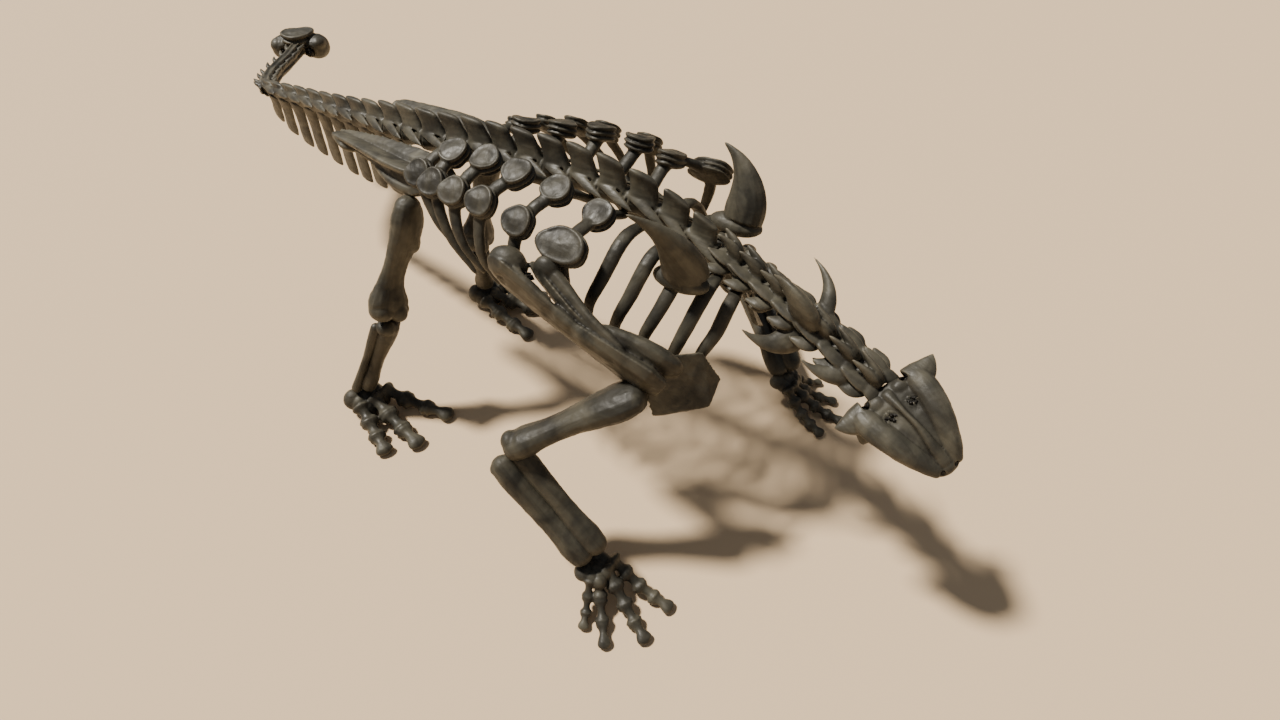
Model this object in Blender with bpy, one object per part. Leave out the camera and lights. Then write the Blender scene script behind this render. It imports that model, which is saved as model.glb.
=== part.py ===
"""A mounted fossil skeleton of an armoured dinosaur, Euoplocephalus, about 5.5 m along the spine.

The animal stands with its weight on its left side, head low and turned to its right, tail level.
+X is the animal's left, +Y runs to the tail, +Z is up. The soles of hands and feet are at Z = 0.
"""
import math

import bmesh
import bpy
from mathutils import Matrix, Vector

# Driving dimensions, metres
STANCE_CENTRE = (0.3119, 0.0923)      # middle of the skeleton's box, moved to the origin
GAP = 0.0004                       # clearance left where one bone seats on another
SPINE_ROUTE = (                    # middle of the vertebrae, skull to tail club
    (0.090, -2.100, 0.945), (0.145, -1.930, 0.995), (0.195, -1.760, 1.045), (0.255, -1.560, 1.085),
    (0.300, -1.360, 1.130), (0.310, -1.200, 1.180), (0.310, -1.050, 1.235), (0.300, -0.900, 1.270),
    (0.300, -0.640, 1.295), (0.300, -0.385, 1.295), (0.300, -0.120, 1.285), (0.310, 0.130, 1.260),
    (0.360, 0.430, 1.225), (0.420, 0.760, 1.180), (0.490, 1.080, 1.130), (0.555, 1.400, 1.090),
    (0.625, 1.740, 1.045), (0.700, 1.900, 1.015), (0.880, 2.080, 0.990), (1.120, 2.240, 0.975),
    (1.360, 2.400, 0.970))
NECK_JOINTS = (-2.085, -1.330, 7)  # first joint, last joint along Y, number of vertebrae
BACK_JOINTS = (-1.330, -0.010, 10)
HIP_JOINTS = (-0.010, 0.600, 4)
TAIL_JOINTS = (0.600, 1.820, 8)
HANDLE_JOINTS = (1.820, 2.345, 4)

NECK_ROLL = 25.0                   # degrees, the head's left side is carried higher
ROLL_FROM = -1.45                  # the neck starts to roll here along Y

SHOULDER_SPIKES = {                # base, bend and tip
    -1: ((0.065, -1.315, 1.175), (0.020, -1.300, 1.380), (-0.045, -1.120, 1.450)),
    1: ((0.500, -1.350, 1.180), (0.565, -1.370, 1.380), (0.600, -1.200, 1.450))}
NECK_SPIKES = {                    # name, base, bend, tip, half length and half width of the base
    -1: (
        ("neck_spike_right_1", (0.180, -1.740, 0.990), (0.060, -1.700, 0.950), (0.060, -1.550, 1.030),
         0.062, 0.040),
        ("neck_spike_right_2", (0.105, -1.965, 0.975), (0.020, -1.915, 0.955), (0.045, -1.792, 1.005),
         0.062, 0.040),
        ("neck_spike_right_3", (0.150, -1.770, 1.090), (0.130, -1.700, 1.240), (0.205, -1.597, 1.205),
         0.075, 0.040)),
    1: (
        ("neck_spike_left_3", (0.245, -1.800, 1.070), (0.305, -1.830, 1.170), (0.390, -1.683, 1.203),
         0.045, 0.028),
        ("neck_spike_left_1", (0.290, -1.720, 1.020), (0.400, -1.690, 1.000), (0.420, -1.560, 1.050),
         0.060, 0.035),
        ("neck_spike_left_2", (0.200, -1.960, 0.980), (0.300, -1.930, 0.980), (0.300, -1.800, 1.010),
         0.060, 0.035))}
SKULL_AT = (0.067, -2.100, 0.970)  # midway between the two rear horns
SKULL_NOSE = (-0.072, -2.392, 0.878)
SKULL_LEFT_HORN = (0.214, -2.206, 1.070)
# Tables of a place along Y and a size there
RIM = ((-2.02, 0.038), (-1.33, 0.046), (-0.9, 0.054), (0.3, 0.056), (1.0, 0.046), (1.8, 0.032), (2.4, 0.030))
SPINE_RISE = ((-2.0, 0.060), (-1.33, 0.075), (-0.85, 0.115), (0.2, 0.100), (0.5, 0.074), (0.9, 0.056),
              (1.5, 0.036), (1.84, 0.020), (2.4, 0.014))
SPINE_LEAN = ((-2.0, 0.020), (-1.2, 0.035), (-0.6, 0.055), (1.8, 0.060), (1.9, 0.030))
WING_REACH = ((-2.1, 0.062), (-1.3, 0.060), (-1.0, 0.032), (-0.2, 0.030), (0.2, 0.036), (0.8, 0.030),
              (1.4, 0.022), (2.4, 0.012))
WING_LIFT = ((-2.1, 0.020), (-1.3, 0.045), (-0.8, 0.065), (-0.2, 0.055), (0.5, 0.020), (2.4, 0.000))
WING_SWEEP = ((1.70, 0.82), (1.80, 0.42))
CHEVRON_DROP = ((0.30, 0.0), (0.50, 0.330), (0.90, 0.310), (1.50, 0.215), (1.82, 0.080), (2.4, 0.030))
RIBS = {                           # root along Y, then the points that the rib runs through
    -1: (
        (-0.100, (0.170, -0.100, 1.330), (0.035, -0.072, 1.270), (-0.030, -0.160, 1.130),
         (-0.060, -0.300, 1.000)),
        (-0.230, (0.129, -0.197, 1.350), (-0.020, -0.203, 1.290), (-0.100, -0.290, 1.140),
         (-0.125, -0.430, 0.985)),
        (-0.430, (0.110, -0.385, 1.372), (-0.050, -0.342, 1.305), (-0.140, -0.400, 1.170),
         (-0.155, -0.510, 1.040)),
        (-0.600, (0.080, -0.564, 1.376), (-0.062, -0.490, 1.312), (-0.160, -0.520, 1.160),
         (-0.165, -0.590, 1.020)),
        (-0.780, (0.090, -0.740, 1.350), (-0.086, -0.682, 1.296), (-0.170, -0.680, 1.130),
         (-0.160, -0.690, 0.970)),
        (-0.940, (0.119, -0.903, 1.275), (-0.084, -0.874, 1.250), (-0.130, -0.895, 1.080),
         (-0.120, -0.900, 0.930)),
        (-1.030, (0.080, -1.035, 1.245), (-0.050, -1.010, 1.130), (-0.100, -0.979, 1.030),
         (-0.080, -0.950, 0.850)),
        (-1.176, (0.083, -1.165, 1.220), (-0.047, -1.135, 1.100), (-0.102, -1.095, 0.975),
         (-0.067, -1.065, 0.800)),
        (-1.286, (0.103, -1.275, 1.160), (-0.027, -1.250, 1.060), (-0.082, -1.210, 0.939),
         (-0.037, -1.185, 0.780)),
        (-1.386, (0.123, -1.380, 1.110), (0.003, -1.360, 1.010), (-0.052, -1.325, 0.880),
         (-0.007, -1.295, 0.760)),
        (-1.478, (0.127, -1.470, 1.060), (0.047, -1.460, 0.980), (-0.008, -1.425, 0.890),
         (0.017, -1.400, 0.790))),
    1: (
        (-0.150, (0.440, -0.175, 1.315), (0.565, -0.172, 1.270), (0.630, -0.260, 1.130),
         (0.660, -0.400, 1.000)),
        (-0.270, (0.471, -0.300, 1.350), (0.620, -0.300, 1.290), (0.700, -0.390, 1.140),
         (0.725, -0.530, 0.985)),
        (-0.450, (0.490, -0.488, 1.370), (0.650, -0.440, 1.305), (0.740, -0.500, 1.170),
         (0.755, -0.610, 1.040)),
        (-0.630, (0.520, -0.665, 1.382), (0.662, -0.600, 1.312), (0.760, -0.620, 1.160),
         (0.765, -0.690, 1.020)),
        (-0.800, (0.530, -0.850, 1.375), (0.690, -0.800, 1.290), (0.770, -0.780, 1.130),
         (0.760, -0.790, 0.970)),
        (-0.980, (0.550, -0.985, 1.330), (0.680, -1.110, 1.245), (0.745, -1.080, 1.060),
         (0.730, -1.030, 0.930)),
        (-1.090, (0.500, -1.110, 1.200), (0.600, -1.130, 1.080), (0.650, -1.120, 0.960),
         (0.640, -1.080, 0.800)),
        (-1.195, (0.500, -1.215, 1.150), (0.610, -1.215, 1.040), (0.660, -1.190, 0.930),
         (0.640, -1.160, 0.770)),
        (-1.300, (0.490, -1.300, 1.120), (0.600, -1.265, 1.020), (0.660, -1.225, 0.910),
         (0.620, -1.200, 0.760)),
        (-1.400, (0.470, -1.400, 1.080), (0.580, -1.375, 0.980), (0.630, -1.340, 0.860),
         (0.590, -1.310, 0.740)),
        (-1.500, (0.450, -1.510, 1.040), (0.530, -1.490, 0.960), (0.585, -1.455, 0.870),
         (0.560, -1.430, 0.770)))}
PLATED_RIBS = 6                    # the rear ribs carry osteoderms
PLATE_RISE = 0.020                 # an osteoderm's middle stands this far outside its rib
SKULL_SECTIONS = (               # back, half width, top, bottom, roof half width
    (0.020, 0.085, 0.020, -0.085, 0.050),
    (-0.045, 0.150, 0.035, -0.105, 0.100),
    (-0.120, 0.150, 0.040, -0.110, 0.095),
    (-0.190, 0.125, 0.030, -0.105, 0.080),
    (-0.260, 0.100, 0.008, -0.100, 0.065),
    (-0.315, 0.088, -0.020, -0.098, 0.052),
    (-0.335, 0.060, -0.040, -0.090, 0.036))
TRUNK_MIDDLE = 0.300               # plane that the left and right sides of the trunk mirror in
HIND_MIDDLE = 0.095                # the same for knees and feet, because the trunk leans to its left
LEFT_SHOULDER_DROP = (-0.060, 0.050, -0.200)
ARM_JOINTS = {                     # elbow and wrist of each side
    -1: ((-0.594, -0.858, 0.580), (-0.655, -1.305, 0.215)),
    1: ((1.240, -1.200, 0.310), (0.752, -1.626, 0.190))}
FINGER_TIPS = {                    # outward and forward from the wrist, and number of bones
    -1: ((0.200, -0.058, 3), (0.220, -0.173, 3), (0.120, -0.303, 4), (-0.045, -0.328, 4)),
    1: ((0.190, -0.150, 3), (0.089, -0.266, 3), (-0.030, -0.340, 4), (-0.163, -0.265, 4))}
BONE_COLOUR = (0.050, 0.045, 0.037, 1.0)
ARMOUR_COLOUR = (0.060, 0.052, 0.042, 1.0)


def clear_scene():
    for thing in list(bpy.data.objects):
        bpy.data.objects.remove(thing, do_unlink=True)


def fossil_material(name, colour, roughness):
    material = bpy.data.materials.new(name)
    material.use_nodes = True
    shader = material.node_tree.nodes["Principled BSDF"]
    shader.inputs["Base Color"].default_value = colour
    shader.inputs["Roughness"].default_value = roughness
    shader.inputs["Metallic"].default_value = 0.0
    return material


def finish_piece(name, bm, stand, colour=BONE_COLOUR, roughness=0.42):
    """Turn a closed bmesh into a named object under the stand, shaded smooth but for sharp edges."""
    bmesh.ops.remove_doubles(bm, verts=bm.verts, dist=0.00005)
    bmesh.ops.triangulate(bm, faces=bm.faces)
    bmesh.ops.recalc_face_normals(bm, faces=bm.faces)
    mesh = bpy.data.meshes.new(name)
    bm.to_mesh(mesh)
    bm.free()
    mesh.shade_smooth()
    mesh.set_sharp_from_angle(angle=math.radians(50))
    mesh.materials.append(fossil_material(name + "_finish", colour, roughness))
    piece = bpy.data.objects.new(name, mesh)
    bpy.context.collection.objects.link(piece)
    piece.parent = stand
    return piece


def seat(piece, *neighbours):
    """Cut a piece clear of the bones that it sits on, by a slightly grown copy of each."""
    for neighbour in neighbours:
        grown = neighbour.data.copy()
        normals = [vertex.normal.copy() for vertex in grown.vertices]
        for vertex, normal in zip(grown.vertices, normals):
            vertex.co += normal * GAP * 1.5
        cutter = bpy.data.objects.new(piece.name + "_seat_" + neighbour.name, grown)
        bpy.context.collection.objects.link(cutter)
        cutter.parent = piece.parent
        cutter.hide_render = True
        cutter.display_type = "WIRE"
        cut = piece.modifiers.new("Seat on " + neighbour.name, "BOOLEAN")
        cut.operation = "DIFFERENCE"
        cut.solver = "EXACT"
        cut.use_self = True
        cut.object = cutter


def fuse(piece, addition):
    """Union of a bone and something that grows on it."""
    join = piece.modifiers.new("Fuse " + addition.name, "BOOLEAN")
    join.operation = "UNION"
    join.solver = "EXACT"
    join.object = addition
    addition.hide_render = True
    addition.display_type = "WIRE"


def along(table, place):
    """Read a table of (place, value) pairs by straight lines between its rows."""
    if place <= table[0][0]:
        return table[0][1]
    for (start, low), (end, high) in zip(table, table[1:]):
        if place <= end:
            return low + (high - low) * (place - start) / (end - start)
    return table[-1][1]


def hermite(points, place, axis):
    """Smooth value of one coordinate along a route whose Y always grows."""
    last = len(points) - 2
    index = 0
    while index < last and place > points[index + 1][1]:
        index += 1
    before = points[max(index - 1, 0)]
    start, end = points[index], points[index + 1]
    after = points[min(index + 2, last + 1)]
    span = end[1] - start[1]
    t = (place - start[1]) / span
    slope_in = (end[axis] - before[axis]) / max(end[1] - before[1], 1e-6) * span
    slope_out = (after[axis] - start[axis]) / max(after[1] - start[1], 1e-6) * span
    return ((2 * t ** 3 - 3 * t ** 2 + 1) * start[axis] + (t ** 3 - 2 * t ** 2 + t) * slope_in
            + (3 * t ** 2 - 2 * t ** 3) * end[axis] + (t ** 3 - t ** 2) * slope_out)


def spine_point(place):
    return Vector((hermite(SPINE_ROUTE, place, 0), place, hermite(SPINE_ROUTE, place, 2)))


def spine_frame(place):
    """Centre, tailward, left and up directions of the spine at a place along Y."""
    step = 0.01
    tailward = (spine_point(place + step) - spine_point(place - step)).normalized()
    left = tailward.cross(Vector((0, 0, 1))).normalized()
    up = left.cross(tailward).normalized()
    share = min(max((ROLL_FROM - place) / (ROLL_FROM - SPINE_ROUTE[0][1]), 0.0), 1.0)
    roll = Matrix.Rotation(-math.radians(NECK_ROLL) * share, 3, tailward)
    return spine_point(place), tailward, roll @ left, roll @ up


def join_rings(bm, first, second):
    """Quads between two loops of the same number of vertices."""
    count = len(first)
    for index in range(count):
        after = (index + 1) % count
        bm.faces.new((first[index], first[after], second[after], second[index]))


def sprout(bm, loop, sections):
    """Grow a process out of an open loop of a surface through sections, and close its tip."""
    last = loop
    for points in sections:
        fresh = [bm.verts.new(point) for point in points]
        join_rings(bm, last, fresh)
        last = fresh
    bm.faces.new(last)


def oval(centre, across, lift, half_width, half_height, sides, turn=0.0):
    points = []
    for index in range(sides):
        angle = turn + 2 * math.pi * index / sides
        points.append(centre + across * (half_width * math.cos(angle))
                      + lift * (half_height * math.sin(angle)))
    return points


def skin(bm, sections):
    """A closed solid through a list of point loops."""
    loops = [[bm.verts.new(point) for point in points] for points in sections]
    for first, second in zip(loops, loops[1:]):
        join_rings(bm, first, second)
    bm.faces.new(loops[0])
    bm.faces.new(loops[-1])
    return loops


def shaft(bm, route, widths, depths, sides, lift_hint, turn=0.0):
    """A solid of oval section along a route; widths lie across the hint, depths along it."""
    points = [Vector(point) for point in route]
    sections = []
    for index, point in enumerate(points):
        ahead = points[min(index + 1, len(points) - 1)] - points[max(index - 1, 0)]
        across = ahead.cross(Vector(lift_hint)).normalized()
        lift = across.cross(ahead).normalized()
        sections.append(oval(point, across, lift, widths[index], depths[index], sides, turn))
    skin(bm, sections)


def club(stand):
    """Tail club: a flat-topped core between two side knobs, in one skin from side to side."""
    centre = Vector((1.365, 2.415, 0.965))
    ahead = centre - spine_point(2.20)
    ahead = Vector((ahead.x, ahead.y, 0)).normalized()
    across = Vector((ahead.y, -ahead.x, 0))
    lift = Vector((0, 0, 1))
    bm = bmesh.new()
    skin(bm, [oval(centre + across * place + ahead * shift + lift * level, ahead, lift, half, tall, 8)
              for place, half, tall, shift, level in
              ((-0.210, 0.030, 0.026, -0.01, -0.01), (-0.185, 0.078, 0.062, -0.01, -0.01),
               (-0.130, 0.100, 0.080, 0.00, -0.005), (-0.075, 0.088, 0.070, 0.01, 0.00),
               (-0.050, 0.118, 0.082, 0.01, 0.008), (0.060, 0.122, 0.084, 0.01, 0.008),
               (0.090, 0.085, 0.068, 0.01, -0.005), (0.140, 0.096, 0.072, -0.01, -0.015),
               (0.185, 0.066, 0.052, -0.01, -0.015), (0.205, 0.026, 0.022, -0.01, -0.015))])
    return finish_piece("tail_club", bm, stand, ARMOUR_COLOUR, 0.4)


def blend(start, end, share):
    return Vector(start) + (Vector(end) - Vector(start)) * share


def vertebra(bm, front, front_at, back, back_at):
    """An hourglass centrum between two six-sided rims, with its spine, wings and chevron."""
    middle = (front_at + back_at) / 2
    length = (spine_point(back_at) - spine_point(front_at)).length
    centre, tailward, left, up = spine_frame(middle)
    rim = along(RIM, middle)
    waist = [bm.verts.new(point) for point in oval(centre, left, up, rim * 0.72, rim * 0.72, 6)]
    drop = along(CHEVRON_DROP, middle)

    def place(tail_share, side, height):
        return centre + tailward * (tail_share * length) + left * side + up * height

    for ring_a, ring_b, is_rear in ((front, waist, False), (waist, back, True)):
        for index in range(6):
            top = index == 1
            wing = not is_rear and index in (0, 2)
            chevron = is_rear and index == 4 and drop > 0.02
            if not (top or wing or chevron):
                after = (index + 1) % 6
                bm.faces.new((ring_a[index], ring_a[after], ring_b[after], ring_b[index]))

    rise = along(SPINE_RISE, middle)
    lean = along(SPINE_LEAN, middle) / length
    blade_loop = [front[1], front[2], waist[2], back[2], back[1], waist[1]]
    sections = []
    for height, half, shift, thick, dish in ((0.30, 0.30, 0.15, 0.014, 0.010),
                                             (1.0, 0.40, 1.0, 0.026, 0.020)):
        level = rim * 0.8 + rise * height
        crest = 0.012 * height
        spots = ((-half, thick, 0), (-half, -thick, 0), (0, -dish, crest), (half, -thick, crest),
                 (half, thick, crest), (0, dish, crest))
        sections.append([place(along_share + lean * shift, side, level + extra)
                         for along_share, side, extra in spots])
    sprout(bm, blade_loop, sections)

    reach, lift = along(WING_REACH, middle), along(WING_LIFT, middle)
    for side, loop in ((1, (waist[0], waist[1], front[1], front[0])),
                       (-1, (waist[3], waist[2], front[2], front[3]))):
        far = rim + reach
        sweep = along(WING_SWEEP, middle)
        tip = [place(share, side * lateral, height) for share, lateral, height in
               ((-0.28, far * 0.90, lift), (-0.32, far * 0.82, lift + 0.014),
                (-sweep, far, lift + 0.016), (-sweep, far, lift))]
        sprout(bm, list(loop), [tip])

    if drop > 0.02:
        low = -rim - drop
        thick = 0.012
        knee = [place(share, side, -rim - drop * 0.35) for share, side in
                ((0.22, -thick), (0.22, thick), (0.55, thick), (0.55, -thick))]
        foot = [place(share, side, low) for share, side in
                ((0.40, -thick), (0.40, thick), (0.95, thick), (0.95, -thick))]
        sprout(bm, [waist[4], waist[5], back[5], back[4]], [knee, foot])


def column(name, joints, stand):
    """A run of vertebrae fused end to end, from one joint station to another."""
    first, last, count = joints
    bm = bmesh.new()
    stations = [first + (last - first) * index / count for index in range(count + 1)]
    stations[0] += GAP
    stations[-1] -= GAP
    rings = []
    for station in stations:
        centre, _, left, up = spine_frame(station)
        rim = along(RIM, station)
        rings.append([bm.verts.new(point) for point in oval(centre, left, up, rim, rim, 6)])
    bm.faces.new(rings[0])
    bm.faces.new(rings[-1])
    for index in range(count):
        vertebra(bm, rings[index], stations[index], rings[index + 1], stations[index + 1])
    return finish_piece(name, bm, stand)


def side_name(side):
    return "left" if side > 0 else "right"


def through(points, share):
    """A smooth curve through points, read by a share of their number."""
    place = share * (len(points) - 1)
    index = min(int(place), len(points) - 2)
    t = place - index
    start, end = points[index], points[index + 1]
    before = points[index - 1] if index else start * 2 - end
    after = points[index + 2] if index + 2 < len(points) else end * 2 - start
    return (start * 2 + (end - before) * t + (before * 2 - start * 5 + end * 4 - after) * t ** 2
            + (start * 3 - before - end * 3 + after) * t ** 3) / 2


def rib(number, side, stand):
    """One rib from the spine to its free end; the rear ones widen into one or two domed osteoderms."""
    root, *stops = RIBS[side][number - 1]
    centre, _, left, up = spine_frame(root)
    points = [centre + left * (side * 0.030) - up * 0.048] + [Vector(stop) for stop in stops]
    stations = [(share, thick, wide, 0.0) for share, thick, wide in
                ((0.0, 0.018, 0.024), (0.14, 0.019, 0.025), (0.66, 0.017, 0.022), (0.85, 0.014, 0.017),
                 (1.0, 0.007, 0.008))]
    if number > PLATED_RIBS:
        stations += [(0.30, 0.019, 0.026, 0.0), (0.48, 0.018, 0.024, 0.0)]
    else:
        stations[1] = (0.08, 0.018, 0.024, 0.0)
        lower = (0.50, 0.112, 0.076) if number == PLATED_RIBS else (0.50, 0.068, 0.066)
        plates = [(0.25, 0.070, 0.066), lower]
        for share, long_half, short_half in plates[0 if number > 1 else 1:]:
            speed = (through(points, share + 0.01) - through(points, share - 0.01)).length / 0.02
            reach = short_half / speed
            for place, size in ((-1.0, 0.42), (-0.42, 1.0), (0.42, 1.0), (1.0, 0.42)):
                stations.append((share + place * reach, 0.031 if size == 1.0 else 0.022, long_half * size,
                                 PLATE_RISE))
    route, thicks, wides = [], [], []
    for share, thick, wide, shift in sorted(stations):
        ahead = through(points, min(share + 0.02, 1.0)) - through(points, max(share - 0.02, 0.0))
        facing = (ahead.cross(Vector((0, 1, 0))) * side).normalized()
        route.append(through(points, share) + facing * shift * (1 if facing.z > -0.3 else -1))
        thicks.append(thick)
        wides.append(wide)
    bm = bmesh.new()
    if number > PLATED_RIBS:
        shaft(bm, route, thicks, wides, 4, (0, 1, 0), math.radians(45))
    else:
        shaft(bm, route, thicks, wides, 6, (0, 1, 0), math.radians(30))
    return finish_piece("rib_%s_%02d" % (side_name(side), number), bm, stand)


def skull_frame():
    origin = Vector(SKULL_AT)
    back = (origin - Vector(SKULL_NOSE)).normalized()
    left = (Vector(SKULL_LEFT_HORN) - origin)
    left = (left - back * left.dot(back)).normalized()
    up = left.cross(back).normalized()
    return origin, left, back, up


def head_point(left_way, back_way, up_way):
    origin, left, back, up = skull_frame()
    return origin + left * left_way + back * back_way + up * up_way


def skull(stand):
    """Broad flat-roofed head with two rear and two cheek horns."""
    bm = bmesh.new()
    loops = []
    for back, half, top, bottom, roof in SKULL_SECTIONS:
        middle = (top + bottom) / 2 + 0.012
        spots = ((half, middle), (roof, top - 0.008), (0.0, top), (-roof, top - 0.008), (-half, middle),
                 (-half * 0.86, bottom), (0.0, bottom), (half * 0.86, bottom))
        loops.append([bm.verts.new(head_point(side, back, height)) for side, height in spots])
    horn_faces = {(0, 0), (0, 3), (1, 7), (1, 4)}
    for row, (first, second) in enumerate(zip(loops, loops[1:])):
        for index in range(8):
            if (row, index) not in horn_faces:
                after = (index + 1) % 8
                bm.faces.new((first[index], first[after], second[after], second[index]))
    bm.faces.new(loops[0])
    bm.faces.new(loops[-1])
    for side, index in ((1, 0), (-1, 3)):
        after = index + 1
        loop = [loops[0][index], loops[0][after], loops[1][after], loops[1][index]]
        if side < 0:
            loop = [loops[0][after], loops[0][index], loops[1][index], loops[1][after]]
        mid = [head_point(side * 0.150, 0.020, -0.022), head_point(side * 0.140, 0.022, 0.014),
               head_point(side * 0.165, -0.050, 0.012), head_point(side * 0.172, -0.050, -0.022)]
        tip = [head_point(side * 0.203, 0.008, -0.008), head_point(side * 0.203, 0.008, 0.003),
               head_point(side * 0.208, -0.010, 0.003), head_point(side * 0.208, -0.010, -0.008)]
        sprout(bm, loop, [mid, tip])
    for side, index in ((1, 7), (-1, 4)):
        after = (index + 1) % 8
        loop = [loops[1][index], loops[1][after], loops[2][after], loops[2][index]]
        if side < 0:
            loop = [loops[1][after], loops[1][index], loops[2][index], loops[2][after]]
        tip = [head_point(side * 0.166, -0.070, -0.104), head_point(side * 0.170, -0.070, -0.084),
               head_point(side * 0.170, -0.100, -0.084), head_point(side * 0.166, -0.100, -0.104)]
        sprout(bm, loop, [tip])
    return finish_piece("skull", bm, stand)


def mandible(stand):
    bm = bmesh.new()
    sections = []
    for back, half, top, bottom in ((-0.060, 0.095, -0.114, -0.150), (-0.130, 0.112, -0.114, -0.172),
                                    (-0.200, 0.094, -0.113, -0.162), (-0.270, 0.072, -0.108, -0.142),
                                    (-0.318, 0.046, -0.102, -0.124)):
        spots = ((half, top), (-half, top), (-half, (top + bottom) / 2), (-half * 0.8, bottom),
                 (half * 0.8, bottom), (half, (top + bottom) / 2))
        sections.append([head_point(side, back, height) for side, height in spots])
    skin(bm, sections)
    return finish_piece("mandible", bm, stand)


def spike(name, base, bend, tip, half_length, half_width, stand):
    """A curved horn-like spike with an oval base."""
    bm = bmesh.new()
    base, bend, tip = Vector(base), Vector(bend), Vector(tip)
    shares = (0.0, 0.14, 0.36, 0.6, 0.84, 1.0)
    sizes = (0.92, 1.0, 0.80, 0.50, 0.20, 0.03)
    route = [base * (1 - s) ** 2 + bend * (2 * s * (1 - s)) + tip * s ** 2 for s in shares]
    shaft(bm, route, [half_width * size for size in sizes], [half_length * size for size in sizes], 6,
          (bend - base).cross(tip - base).cross(bend - base) * -1)
    return finish_piece(name, bm, stand, ARMOUR_COLOUR, 0.38)


def long_bone(name, start, end, bow, widths, depths, lift_hint, stand, sides=8):
    """A shaft between two joints, with its own widths and depths at even steps."""
    bm = bmesh.new()
    count = len(widths)
    route = []
    for index in range(count):
        share = index / (count - 1)
        route.append(blend(start, end, share) + Vector(bow) * math.sin(math.pi * share))
    shaft(bm, route, widths, depths, sides, lift_hint)
    return finish_piece(name, bm, stand)


def mirrored(point, side, middle):
    """Take a point of the right side, and give its place on the wanted side of a middle plane."""
    x, y, z = point
    return (middle + side * (middle - x), y, z)


def shoulder_place(x, y, z, side):
    """A point of the right shoulder, or its twin on the left, which hangs lower and further back."""
    point = Vector(mirrored((x, y, z), side, TRUNK_MIDDLE))
    return point + Vector(LEFT_SHOULDER_DROP) if side > 0 else point
def scapula(side, stand):
    """Shoulder blade with its acromial tongue, fused to the coracoid plate."""
    def at(x, y, z):
        return shoulder_place(x, y, z, side)

    bm = bmesh.new()
    route = [at(-0.225, -0.630, 1.180), at(-0.235, -0.700, 1.160), at(-0.250, -0.840, 1.105),
             at(-0.255, -1.010, 1.030), at(-0.250, -1.180, 0.960), at(-0.240, -1.300, 0.905),
             at(-0.225, -1.365, 0.870)]
    widths = [0.070, 0.104, 0.092, 0.078, 0.100, 0.112, 0.075]
    depths = [0.022, 0.030, 0.028, 0.030, 0.036, 0.044, 0.030]
    shaft(bm, route, widths, depths, 8, (-side, 0, 0.35))
    blade = finish_piece("scapula_" + side_name(side), bm, stand)

    bm = bmesh.new()
    inner = [at(-0.225, -1.270, 0.985), at(-0.050, -1.430, 0.940), at(-0.025, -1.510, 0.810),
             at(-0.120, -1.510, 0.735), at(-0.265, -1.375, 0.755)]
    outward = Vector((-side * 0.45, -0.85, 0.20)).normalized() * -0.022
    skin(bm, [[point - outward for point in inner],
              [point + outward for point in inner]])
    coracoid = finish_piece("coracoid_" + side_name(side), bm, stand)
    fuse(blade, coracoid)

    bm = bmesh.new()
    tongue = [at(-0.245, -1.130, 1.000), at(-0.225, -0.980, 1.080), at(-0.190, -0.870, 1.135),
              at(-0.165, -0.800, 1.165), at(-0.150, -0.765, 1.180)]
    shaft(bm, tongue, [0.060, 0.062, 0.060, 0.056, 0.030], [0.020, 0.020, 0.022, 0.022, 0.014], 6,
          (-side, 0, 0.5))
    acromion = finish_piece("acromion_" + side_name(side), bm, stand)
    fuse(blade, acromion)
    return blade, coracoid


def ilium(side, stand):
    """Long roof-like hip blade, thick over the hip socket and pointed behind."""
    bm = bmesh.new()
    sections = []
    for y, inner_x, inner_z, outer_x, outer_z, thick in (
            (0.690, 0.262, 1.205, 0.240, 1.190, 0.006), (0.540, 0.240, 1.240, 0.165, 1.180, 0.014),
            (0.350, 0.225, 1.265, 0.110, 1.175, 0.018), (0.160, 0.205, 1.280, 0.040, 1.150, 0.024),
            (0.020, 0.195, 1.285, 0.015, 1.150, 0.026), (-0.110, 0.170, 1.270, 0.050, 1.190, 0.016),
            (-0.180, 0.130, 1.250, 0.095, 1.225, 0.007)):
        middle = TRUNK_MIDDLE + along(((0.0, 0.0), (0.7, 0.10)), y)
        inner = Vector(mirrored((inner_x, y, inner_z), side, middle))
        outer = Vector(mirrored((outer_x, y, outer_z), side, middle))
        span = (outer - inner).normalized()
        normal = Vector((span.z * side, 0, -span.x * side)) * -1
        half = (outer - inner).length / 2
        sections.append(oval((inner + outer) / 2, span, normal, half, thick, 6))
    skin(bm, sections)
    return finish_piece("ilium_" + side_name(side), bm, stand)


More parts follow.
